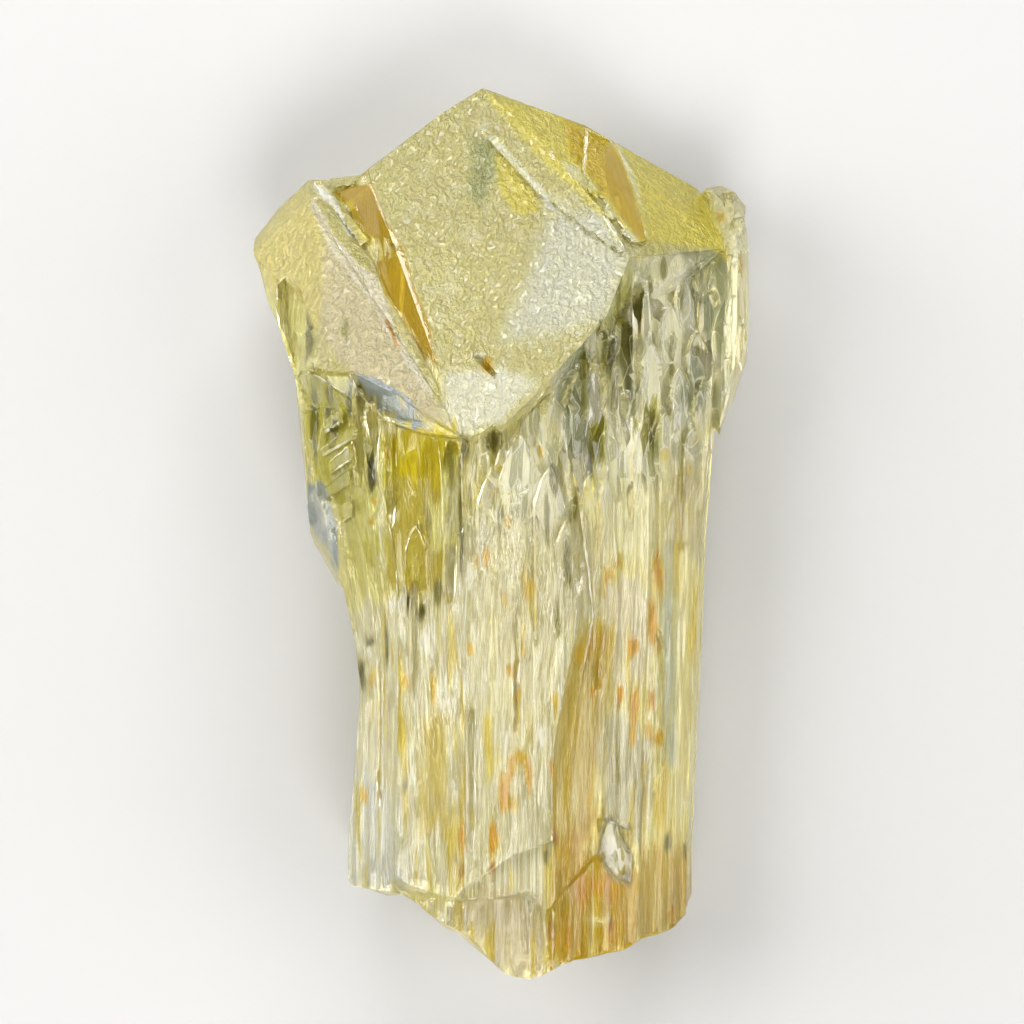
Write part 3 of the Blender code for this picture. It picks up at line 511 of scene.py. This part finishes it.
# Small marks on the front: (x, y, half width, half length, strength), in mm
MARKS = {
    "RUST": [
        (9.88, -2.38, 0.28, 1.69, 1), (9.59, -5.75, 0.19, 1.75, 0.9),
        (8.22, -7.0, 0.31, 0.62, 1), (6.34, -7.06, 0.11, 0.56, 0.8),
        (5.66, -7.19, 0.09, 0.5, 0.7), (7.41, -9.94, 0.14, 0.56, 1),
        (8.34, -10.81, 0.22, 1.38, 0.9), (8.22, -12.62, 0.12, 0.88, 0.7),
        (9.41, -10.56, 0.19, 0.81, 0.8), (9.22, -12.31, 0.19, 0.69, 0.8),
        (9.91, -12.81, 0.14, 0.44, 0.7), (5.72, -9.81, 0.09, 0.31, 0.9),
        (7.26, -2.0, 0.12, 0.31, 0.8), (6.72, -2.62, 0.31, 0.38, 0.6),
        (6.34, -3.56, 0.19, 0.44, 0.5), (0.22, -15.94, 0.25, 1.25, 0.9),
        (0.66, -14.81, 0.19, 0.88, 0.7), (1.72, -15.25, 0.25, 1.12, 0.9),
        (1.09, -14.0, 0.56, 0.38, 0.6), (0.66, -16.88, 0.31, 0.5, 0.7),
        (-2.44, -18.94, 0.19, 1.0, 1), (-0.47, -18.94, 0.22, 1.0, 1),
        (-8.66, -16.44, 0.16, 0.62, 0.7), (3.26, -14.69, 0.14, 0.81, 0.9),
        (5.09, -22.19, 0.31, 1.25, 0.95), (6.16, -22.0, 0.88, 0.81, 0.8),
        (7.03, -22.62, 0.38, 0.75, 0.5), (4.28, -25.31, 0.31, 1.12, 0.6),
        (6.91, -25.12, 0.12, 0.88, 0.8), (-5.62, -3.31, 0.12, 0.31, 0.7),
        (1.41, -7.38, 0.1, 0.31, 0.8), (0.59, -8.56, 0.19, 0.38, 0.6),
        (1.03, -10.12, 0.16, 0.44, 0.5), (-1.97, -7.25, 0.1, 0.31, 0.8),
        (-0.84, -1.56, 0.12, 0.56, 0.8), (0.41, 0.62, 0.12, 0.25, 0.7),
        (2.41, 5.06, 0.12, 0.25, 0.7), (-0.47, 2.38, 0.12, 0.25, 0.5),
        (-6.03, -9.25, 0.14, 0.62, 0.6), (-8.22, -9.06, 0.09, 0.69, 0.5),
        (-4.28, -9.81, 0.12, 1.12, 0.5), (-8.28, 0.62, 0.12, 0.16, 0.8),
        (-8.0, 2.0, 0.12, 0.16, 0.6), (15.09, 16.69, 0.12, 0.56, 0.7),
        (13.66, 19.81, 0.19, 0.19, 0.5), (5.53, -16.69, 0.12, 1.25, 0.4),
        (4.59, -19.19, 0.19, 1.12, 0.4), (8.97, -14.81, 0.12, 0.62, 0.3),
        (7.41, -1.69, 0.12, 0.38, 0.5), (10.34, 4.88, 0.19, 0.31, 0.3),
        (11.66, 3.94, 0.25, 0.31, 0.35), (11.16, 0.81, 0.12, 0.38, 0.25),
        (1.28, -2.75, 0.09, 0.25, 0.6), (1.78, -3.56, 0.12, 0.62, 0.45),
        (0.22, -4.19, 0.12, 0.38, 0.4), (-1.66, -1.69, 0.11, 0.44, 0.4),
        (3.41, -10.44, 0.09, 0.5, 0.4), (4.84, -7.62, 0.09, 0.62, 0.4),
        (10.84, -23.88, 0.11, 0.44, 0.6), (-0.09, 3.94, 0.12, 0.19, 0.3),
        (3.66, -25.44, 0.16, 0.62, 0.5), (8.28, -25.44, 0.12, 0.38, 0.4),
        (-0.9, 10.4, 0.3, 0.45, 0.8),
    ],
    "RED_BROWN": [
        (-2.53, -20.94, 0.07, 0.5, 0.9), (-0.53, -20.88, 0.07, 0.44, 0.7),
        (3.47, -18.94, 0.11, 0.56, 0.7), (7.28, -10.44, 0.07, 0.31, 0.4),
        (6.91, -24.5, 0.07, 0.5, 0.5), (2.97, -24.81, 0.12, 0.62, 0.4),
    ],
    "CLEAR_WHITE": [
        (-6.78, -4.44, 0.69, 0.44, 0.9), (-4.78, -6.69, 0.28, 1.06, 1),
        (-4.28, -7.0, 0.19, 1.12, 0.9), (-3.66, -10.56, 0.19, 0.62, 0.9),
        (-3.16, -10.75, 0.16, 0.75, 0.8), (-6.59, -9.81, 0.16, 0.75, 0.7),
        (1.09, -15.38, 0.28, 0.34, 1), (-1.97, -2.94, 0.12, 1.25, 0.5),
        (2.72, -12.62, 0.19, 0.62, 0.5), (-6.03, -18.44, 0.12, 0.5, 0.5),
        (-1.34, -13.25, 0.12, 1.88, 0.4), (-0.09, -5.44, 0.12, 1.88, 0.5),
        (1.16, -6.69, 0.16, 1.88, 0.4), (-7.91, 6.0, 0.38, 0.44, 0.7),
        (-7.09, 6.19, 0.31, 0.38, 0.7), (-7.34, 4.88, 0.31, 0.31, 0.5),
        (-7.53, 0.81, 0.16, 1.88, 0.55), (-7.47, -1.69, 0.19, 1.0, 0.5),
        (6.16, -18.56, 0.62, 0.5, 0.55), (6.91, -20.31, 0.69, 0.56, 0.8),
        (5.66, -19.56, 0.5, 0.31, 0.5), (7.53, -20.94, 0.38, 0.38, 0.7),
        (9.94, -11.0, 0.19, 0.19, 1), (11.66, -19.38, 0.5, 0.38, 0.7),
        (11.41, -16.69, 0.31, 0.88, 0.4), (5.97, -24.06, 0.88, 0.16, 0.7),
        (-6.59, 1.12, 0.19, 0.31, 0.8), (11.78, 4.88, 0.44, 0.38, 0.7),
        (12.41, 14.56, 0.19, 0.75, 0.3), (-11.22, 1.12, 0.25, 1.25, 0.8),
        (-1.5, 11.0, 0.25, 0.3, 0.9), (7.1, -19.6, 0.6, 1.2, 0.9),
        (-3.0, 2.4, 0.3, 2.6, 0.6), (-3.5, 0.2, 0.35, 1.3, 0.6),
        (-10.72, -0.44, 0.19, 1.0, 0.6), (-11.72, 2.19, 0.19, 0.75, 0.6),
        (-8.53, -7.31, 0.38, 0.38, 0.6), (-9.03, -6.69, 0.19, 0.5, 0.5),
        (8.66, 13.0, 0.75, 0.38, 0.5), (3.78, 20.5, 0.62, 0.5, 0.5),
        (-9.59, 20.44, 0.25, 0.25, 0.5),
    ],
    "DARK_OLIVE": [
        (-8.16, 3.88, 0.2, 1.56, 0.9), (-2.59, 0.81, 0.09, 5.0, 0.8),
        (-2.22, 5.19, 0.19, 1.0, 0.5), (-0.47, 5.62, 0.38, 0.62, 0.8),
        (7.78, 11.75, 0.3, 3.38, 1), (8.53, 14.06, 0.14, 1.19, 1),
        (6.91, 11.44, 0.23, 1.25, 0.9), (6.41, 11.44, 0.09, 1.38, 0.6),
        (5.53, 4.44, 0.08, 1.25, 0.9), (6.16, 5.19, 0.19, 1.38, 0.4),
        (-9.53, 8.44, 0.12, 1.5, 0.7), (-9.72, 12.69, 0.1, 0.62, 0.3),
        (-11.97, 12.06, 0.19, 1.62, 0.6), (-11.78, 7.06, 0.15, 2.12, 0.5),
        (-10.84, 8.62, 0.16, 1.12, 0.5), (-10.47, 6.44, 0.12, 0.62, 0.5),
        (-8.84, 8.31, 0.12, 1.12, 0.5), (-5.78, -4.31, 0.1, 0.5, 0.9),
        (-5.09, -4.94, 0.15, 0.5, 0.8), (-7.28, -6.69, 0.07, 1.38, 0.7),
        (-3.97, -3.56, 0.1, 0.75, 0.5), (-8.84, -8.44, 0.21, 0.5, 0.7),
        (-8.78, -9.31, 0.21, 0.56, 0.8), (-8.34, -6.81, 0.19, 0.16, 0.7),
        (9.41, 6.44, 0.16, 1.38, 0.8), (8.97, 3.94, 0.09, 1.25, 0.5),
        (9.28, 15.62, 0.16, 0.88, 0.5), (10.22, 16.56, 0.16, 0.75, 0.5),
        (11.28, 14.56, 0.12, 0.88, 0.4), (5.09, 9.56, 0.08, 2.5, 0.5),
        (4.28, 8.31, 0.06, 1.5, 0.4), (6.66, 9.56, 0.07, 1.88, 0.4),
        (2.91, 0.81, 0.08, 1.88, 0.5), (4.16, -1.69, 0.19, 1.62, 0.6),
        (4.59, 1.44, 0.07, 1.38, 0.4), (-0.09, 0.81, 0.06, 1.5, 0.3),
        (-1.97, 2.06, 0.06, 1.0, 0.4), (-4.47, 0.81, 0.06, 1.25, 0.3),
        (-3.41, 4.88, 0.12, 0.88, 0.3), (-3.09, 3.94, 0.09, 1.5, 0.3),
        (3.47, -5.44, 0.06, 1.25, 0.3), (10.84, 11.94, 0.09, 0.62, 0.4),
        (11.41, 5.81, 0.09, 0.5, 0.5), (12.41, 11.44, 0.07, 0.62, 0.3),
        (10.66, 10.81, 0.08, 1.12, 0.5), (10.53, -19.31, 0.12, 0.56, 0.6),
        (11.53, -19.81, 0.09, 0.44, 0.6), (11.91, -19.69, 0.07, 0.44, 0.5),
        (-6.03, -15.62, 0.09, 0.31, 0.6), (-2.78, -17.19, 0.06, 0.19, 0.5),
        (-2.91, -20.19, 0.09, 0.12, 0.8), (2.84, -20.12, 0.09, 0.31, 0.4),
        (7.41, 14.88, 0.09, 1.25, 0.4), (8.34, 8.31, 0.09, 1.88, 0.4),
        (6.16, 12.69, 0.12, 0.38, 0.5),
    ],
}

# The noises that break up the paint: lumps along x, y and z in mm, and a seed
MOTTLE = ((0.55, 0.8, 0.55), 45)
WISP = ((0.35, 5.0, 0.35), 31)
LUMP = ((1.4, 1.4, 1.4), 32)
BRIGHT_LINES = ((0.3, 3.5, 0.3), 41)
WARM_LINES = ((0.35, 5.0, 0.35), 43)
MARK_EDGE = ((0.22, 1.4, 0.3), 33)

MARK_COLOURS = {"RUST": RUST, "RED_BROWN": RED_BROWN, "CLEAR_WHITE": CLEAR_WHITE,
                "DARK_OLIVE": DARK_OLIVE}


def inside(x, y, outline):
    """How far inside an outline each point lies, in mm, and below 0 outside it."""
    nearest = np.full(len(x), 1e9)
    odd = np.zeros(len(x), dtype=bool)
    for (x0, y0), (x1, y1) in zip(outline, outline[1:] + outline[:1]):
        dx, dy = x1 - x0, y1 - y0
        t = np.clip(((x - x0) * dx + (y - y0) * dy) / (dx * dx + dy * dy), 0, 1)
        nearest = np.minimum(nearest, np.hypot(x - x0 - t * dx, y - y0 - t * dy))
        if y0 != y1:
            odd ^= ((y0 > y) != (y1 > y)) & (x < x0 + (y - y0) * dx / dy)
    return np.where(odd, nearest, -nearest)


def paint(skin):
    """Colours the skin: tinted zones first, among them a painted sheen and a painted light, then
    painted shade in the deepest grooves, then the small marks.
    """
    skin.tint[:] = CLEAR
    skin.over(skin.frosted, FROST)
    mottle = grain(skin.spots, *MOTTLE)
    skin.over(ease(mottle, 0.55, 0.9) * skin.frosted, OLIVE, 0.16)
    skin.over(ease(-mottle, -0.45, -0.1) * skin.frosted, WHITE, 0.35)
    wisp = grain(skin.spots, *WISP) - 0.5
    lump = grain(skin.spots, *LUMP) - 0.5
    x = skin.x + 0.25 * lump * (1 - skin.prism)
    y = skin.y + 2.2 * wisp * skin.prism
    for colour, share, soft, outline in ZONES:
        mask = ease(inside(x, y, outline), -soft, soft) * skin.facing
        if any(colour is dull for dull in (ETCH, GREY, OLIVE_DARK)):
            mask *= 1 - skin.frosted
        skin.over(mask, colour, share)
    skin.over(skin.rims * skin.front, LEMON_LIGHT, 0.6)
    # Painted shade: the deepest grooves of the prism are painted darker, dark olive high up and
    # tan low down
    groove_shade = ease(skin.depth, 0.2, 0.36) * skin.prism
    low = ease(-skin.y, -1.0, 8.0)
    skin.over(groove_shade * (1 - low), DARK_OLIVE, 0.2)
    skin.over(groove_shade * low, TAN, 0.3)
    bright = ease(grain(skin.spots, *BRIGHT_LINES), 0.62, 0.8) * skin.prism
    skin.over(bright * (0.4 + 0.6 * low), WHITE, 0.45)
    warm = ease(grain(skin.spots, *WARM_LINES), 0.66, 0.85) * skin.prism * low
    skin.over(warm, BROWN, 0.4)
    break_up = grain(skin.spots, *MARK_EDGE) - 0.5
    for name, rows in MARKS.items():
        for mark_x, mark_y, wide, long, share in rows:
            away = np.hypot((skin.x - mark_x) / (wide + 0.12), (skin.y - mark_y) / (long + 0.1))
            mask = 1 - ease(away + 0.9 * break_up, 0.6, 1.05)
            skin.over(mask * skin.front, MARK_COLOURS[name], share)


# The shader


class Number:
    """A number that changes over the surface, worked with like a Python number."""

    def __init__(self, socket):
        self.socket = socket

    def maths(self, operation, *others):
        """The result of one Math node."""
        tree = self.socket.id_data
        node = tree.nodes.new("ShaderNodeMath")
        node.operation = operation
        for slot, value in zip(node.inputs, others):
            plug(slot, value)
        return Number(node.outputs[0])

    def __add__(self, other):
        return self.maths("ADD", self, other)

    def __radd__(self, other):
        return self.maths("ADD", other, self)

    def __sub__(self, other):
        return self.maths("SUBTRACT", self, other)

    def __rsub__(self, other):
        return self.maths("SUBTRACT", other, self)

    def __mul__(self, other):
        return self.maths("MULTIPLY", self, other)

    def __rmul__(self, other):
        return self.maths("MULTIPLY", other, self)

    def rise(self, low, high):
        """0 below low, 1 above high."""
        return ((self - low) * (1 / (high - low))).clip()

    def clip(self):
        """The same number kept between 0 and 1."""
        self.socket.node.use_clamp = True
        return self


def plug(slot, value):
    """Links a socket or sets its value."""
    if isinstance(value, Number):
        value = value.socket
    if isinstance(value, bpy.types.NodeSocket):
        slot.id_data.links.new(slot, value)
    else:
        slot.default_value = value


class Recipe:
    """A material being put together, node by node."""

    def __init__(self, name):
        self.material = bpy.data.materials.new(name)
        self.material.use_nodes = True
        self.tree = self.material.node_tree
        self.shader = self.tree.nodes["Principled BSDF"]
        self.output = self.tree.nodes["Material Output"]

    def node(self, kind, settings=None, values=None):
        """A new node with its settings, then its sockets' values or links."""
        node = self.tree.nodes.new(kind)
        for name, value in (settings or {}).items():
            setattr(node, name, value)
        for name, value in (values or {}).items():
            slots = [slot for slot in node.inputs if slot.enabled and slot.name == name]
            plug(slots[0] if slots else node.inputs[name], value)
        return node

    def place(self, size):
        """Where on the crystal, in lumps of the size (x, y, z) in mm."""
        spot = self.node("ShaderNodeTexCoord").outputs["Object"]
        scale = tuple(1 / (MM * s) for s in size)
        return self.vector("MULTIPLY", spot, scale)

    def noise(self, size, detail, roughness):
        """Noise from 0 to 1 with lumps of the size (x, y, z) in mm."""
        node = self.node("ShaderNodeTexNoise", {}, {
            "Vector": self.place(size), "Scale": 1.0, "Detail": detail, "Roughness": roughness})
        return Number(node.outputs["Fac"])

    def scaled(self, colour, share):
        """A colour made darker or lighter by a number."""
        return self.node("ShaderNodeVectorMath", {"operation": "SCALE"},
                         {0: colour, "Scale": share}).outputs[0]

    def over(self, share, below, above):
        """One colour laid over another by a share."""
        mix = self.node("ShaderNodeMix", {"data_type": "RGBA"},
                        {"Factor": share, "A": below, "B": above})
        return next(slot for slot in mix.outputs if slot.enabled)

    def vector(self, operation, *values):
        """The result of vector maths on colours or places."""
        node = self.node("ShaderNodeVectorMath", {"operation": operation})
        for slot, value in zip(node.inputs, values):
            plug(slot, value)
        return node.outputs["Value" if operation == "DOT_PRODUCT" else "Vector"]

    def shards(self):
        """Flat tilted chips: how far each spot rises, one random share a chip, the edge."""
        place = self.node("ShaderNodeAttribute", {"attribute_name": "chips"}).outputs["Vector"]
        flat = {"voronoi_dimensions": "2D"}
        values = {"Vector": place, "Scale": 1.0, "Randomness": 1.0}
        cells = self.node("ShaderNodeTexVoronoi", {"feature": "F1", **flat}, values).outputs
        edges = self.node("ShaderNodeTexVoronoi", {"feature": "DISTANCE_TO_EDGE", **flat}, values)
        away = self.vector("SUBTRACT", place, cells["Position"])
        lean = self.vector("SUBTRACT", cells["Color"], (0.5, 0.5, 0.0))
        slope = self.vector("DOT_PRODUCT", away, lean)
        pick = self.node("ShaderNodeSeparateColor", {}, {"Color": cells["Color"]})
        return Number(slope), Number(pick.outputs[0]), Number(edges.outputs["Distance"])


# The crystal itself: how it bends, passes and takes up light
IOR, CLARITY = 1.55, 0.7
FOG_COLOUR, FOG_DENSITY = (0.98, 0.95, 0.42, 1.0), 16.0

# The shader's fine grain: threads on the prism and pebbles on the frost, in mm
THREAD, PEBBLE = (0.17, 36.0, 0.17), (0.42, 0.55, 0.42)
# How much darker the hollows between the threads are painted, as painted shade, in red, green and
# blue
THREAD_SHADE = (0.55, 0.49, 0.28)

# One unit of the bump's height, in metres, and how many each kind of grain rises
BUMP_UNIT = 0.00006
THREAD_RISE, PEBBLE_RISE, CHIP_RISE = 0.3, 2.2, 5.0


def crystal_material():
    """Clear pale yellow crystal: frosted heads, bright striated prism."""
    recipe = Recipe("clear yellow crystal")
    tint = recipe.node("ShaderNodeAttribute", {"attribute_name": "tint"}).outputs["Color"]
    finish = recipe.node("ShaderNodeAttribute", {"attribute_name": "finish"})
    parts = recipe.node("ShaderNodeSeparateColor", {}, {"Color": finish.outputs["Color"]}).outputs
    frost, prism, etched = Number(parts[0]), Number(parts[1]), Number(parts[2])
    broken = Number(finish.outputs["Alpha"])
    lines = recipe.noise(THREAD, 2.0, 0.8).rise(0.36, 0.64)
    pebble = recipe.noise(PEBBLE, 2.0, 0.6).rise(0.36, 0.66)
    slope, pick, rim = recipe.shards()
    striped = prism * (1.0 - 0.6 * etched)
    chipped = etched + broken
    height = THREAD_RISE * lines * striped + PEBBLE_RISE * pebble * frost
    height = height + CHIP_RISE * slope * chipped
    bump = recipe.node("ShaderNodeBump", {}, {"Strength": 1.0, "Distance": BUMP_UNIT,
                                              "Height": height})
    # Painted light and shade that follow the bump: thread tops painted lighter, frost pebbles
    # lighter on top and darker in their dips
    shade = 1.0 + 0.12 * lines * striped + (pebble - 0.5) * frost * 0.25
    # Painted shade: the hollows between the threads, where the bump sinks, get this darker tint
    hollow_shade = recipe.vector("MULTIPLY", tint, THREAD_SHADE)
    base = recipe.over(striped * (1.0 - lines) * 0.75, recipe.scaled(tint, shade), hollow_shade)
    base = recipe.over(etched * pick.rise(0.6, 0.65) * 0.45, base, opaque(GREY))
    base = recipe.over(etched * (1.0 - pick.rise(0.14, 0.18)) * 0.6, base, opaque(DARK_OLIVE))
    seams = (1.0 - rim.rise(0.02, 0.06)) * pick.rise(0.3, 0.6)
    base = recipe.over(etched * seams * 0.8, base, opaque(LEMON_LIGHT))
    base = recipe.over(broken * pick.rise(0.2, 0.3), base, opaque(CLEAR_WHITE))
    shader = recipe.shader.inputs
    plug(shader["Base Color"], base)
    plug(shader["Roughness"], 0.06 + 0.22 * frost + 0.08 * striped)
    plug(shader["Normal"], bump.outputs[0])
    shader["IOR"].default_value = IOR
    shader["Transmission Weight"].default_value = CLARITY
    fog = recipe.node("ShaderNodeVolumeAbsorption", {}, {"Color": FOG_COLOUR,
                                                         "Density": FOG_DENSITY})
    recipe.tree.links.new(recipe.output.inputs["Volume"], fog.outputs[0])
    return recipe.material


def opaque(light):
    """A tint as the four values a colour socket takes."""
    return (*light, 1.0)


# The studio


# The lamps: name, place in metres, width and height in metres, power in watts
LAMPS = [
    ("top", (0.1, -0.62, 0.85), (0.5, 0.5), 8.4),
    ("left", (-0.5, 0.1, 0.36), (0.4, 0.8), 6.4),
    ("far", (0.0, 0.55, 0.38), (0.6, 0.2), 5.0),
    ("right", (0.5, -0.1, 0.4), (0.35, 0.6), 2.8),
]
LAMP_TONE = (1.0, 0.99, 0.98)
SURROUND_COLOUR, SURROUND_STRENGTH = (1.0, 1.0, 1.0, 1.0), 0.16
FLOOR_COLOUR, FLOOR_ROUGHNESS = (0.38, 0.38, 0.376, 1.0), 0.6
FLOOR_HALF, FLOOR_GAP = 2.0, 0.00005
LAMPS_AIM = (0.0, 0.0, 0.01)


def pale_floor():
    """A plain pale table top."""
    mesh = bpy.data.meshes.new("floor")
    half = FLOOR_HALF
    mesh.from_pydata([(-half, -half, 0), (half, -half, 0), (half, half, 0), (-half, half, 0)],
                     [], [(0, 1, 2, 3)])
    floor = bpy.data.objects.new("floor", mesh)
    floor.location.z = -FLOOR_GAP
    bpy.context.scene.collection.objects.link(floor)
    recipe = Recipe("pale table")
    recipe.shader.inputs["Base Color"].default_value = FLOOR_COLOUR
    recipe.shader.inputs["Roughness"].default_value = FLOOR_ROUGHNESS
    mesh.materials.append(recipe.material)


def softbox(name, place, size, power):
    """A large soft lamp that faces the crystal."""
    light = bpy.data.lights.new(name, "AREA")
    light.shape = "RECTANGLE"
    light.size, light.size_y = size
    light.energy = power
    light.color = LAMP_TONE
    lamp = bpy.data.objects.new(name, light)
    bpy.context.scene.collection.objects.link(lamp)
    lamp.location = place
    lamp.rotation_mode = "QUATERNION"
    lamp.rotation_quaternion = (Vector(LAMPS_AIM) - Vector(place)).to_track_quat("-Z", "Y")


def studio():
    """Lamps, a dim white surround and the camera straight above."""
    scene = bpy.context.scene
    for lamp in LAMPS:
        softbox(*lamp)
    world = bpy.data.worlds.new("surround")
    scene.world = world
    world.use_nodes = True
    back = world.node_tree.nodes["Background"]
    back.inputs["Color"].default_value = SURROUND_COLOUR
    back.inputs["Strength"].default_value = SURROUND_STRENGTH
    lens = bpy.data.cameras.new("camera")
    lens.lens, lens.sensor_width = LENS, SENSOR
    camera = bpy.data.objects.new("camera", lens)
    scene.collection.objects.link(camera)
    away = VIEW_WIDTH * LENS / SENSOR
    camera.location = (VIEW_X * MM, VIEW_Y * MM, (VIEW_PLANE + away) * MM)
    lens.clip_start, lens.clip_end = NEAR_CLIP, FAR_CLIP
    scene.camera = camera
    scene.view_settings.view_transform = "Standard"
    cycles = scene.cycles
    cycles.use_denoising = True
    cycles.adaptive_threshold = 0.2
    cycles.max_bounces = 6
    cycles.transmission_bounces = 6
    cycles.transparent_max_bounces = 4
    cycles.diffuse_bounces = 2
    cycles.glossy_bounces = 3


skin = Skin(NODE)
paint(skin)
crystal = crystal_piece(skin)
crystal.data.materials.append(crystal_material())
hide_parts(NODE)
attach(crystal, "root")
print("CRYSTAL", len(skin.tris), "triangles", flush=True)

pale_floor()
studio()
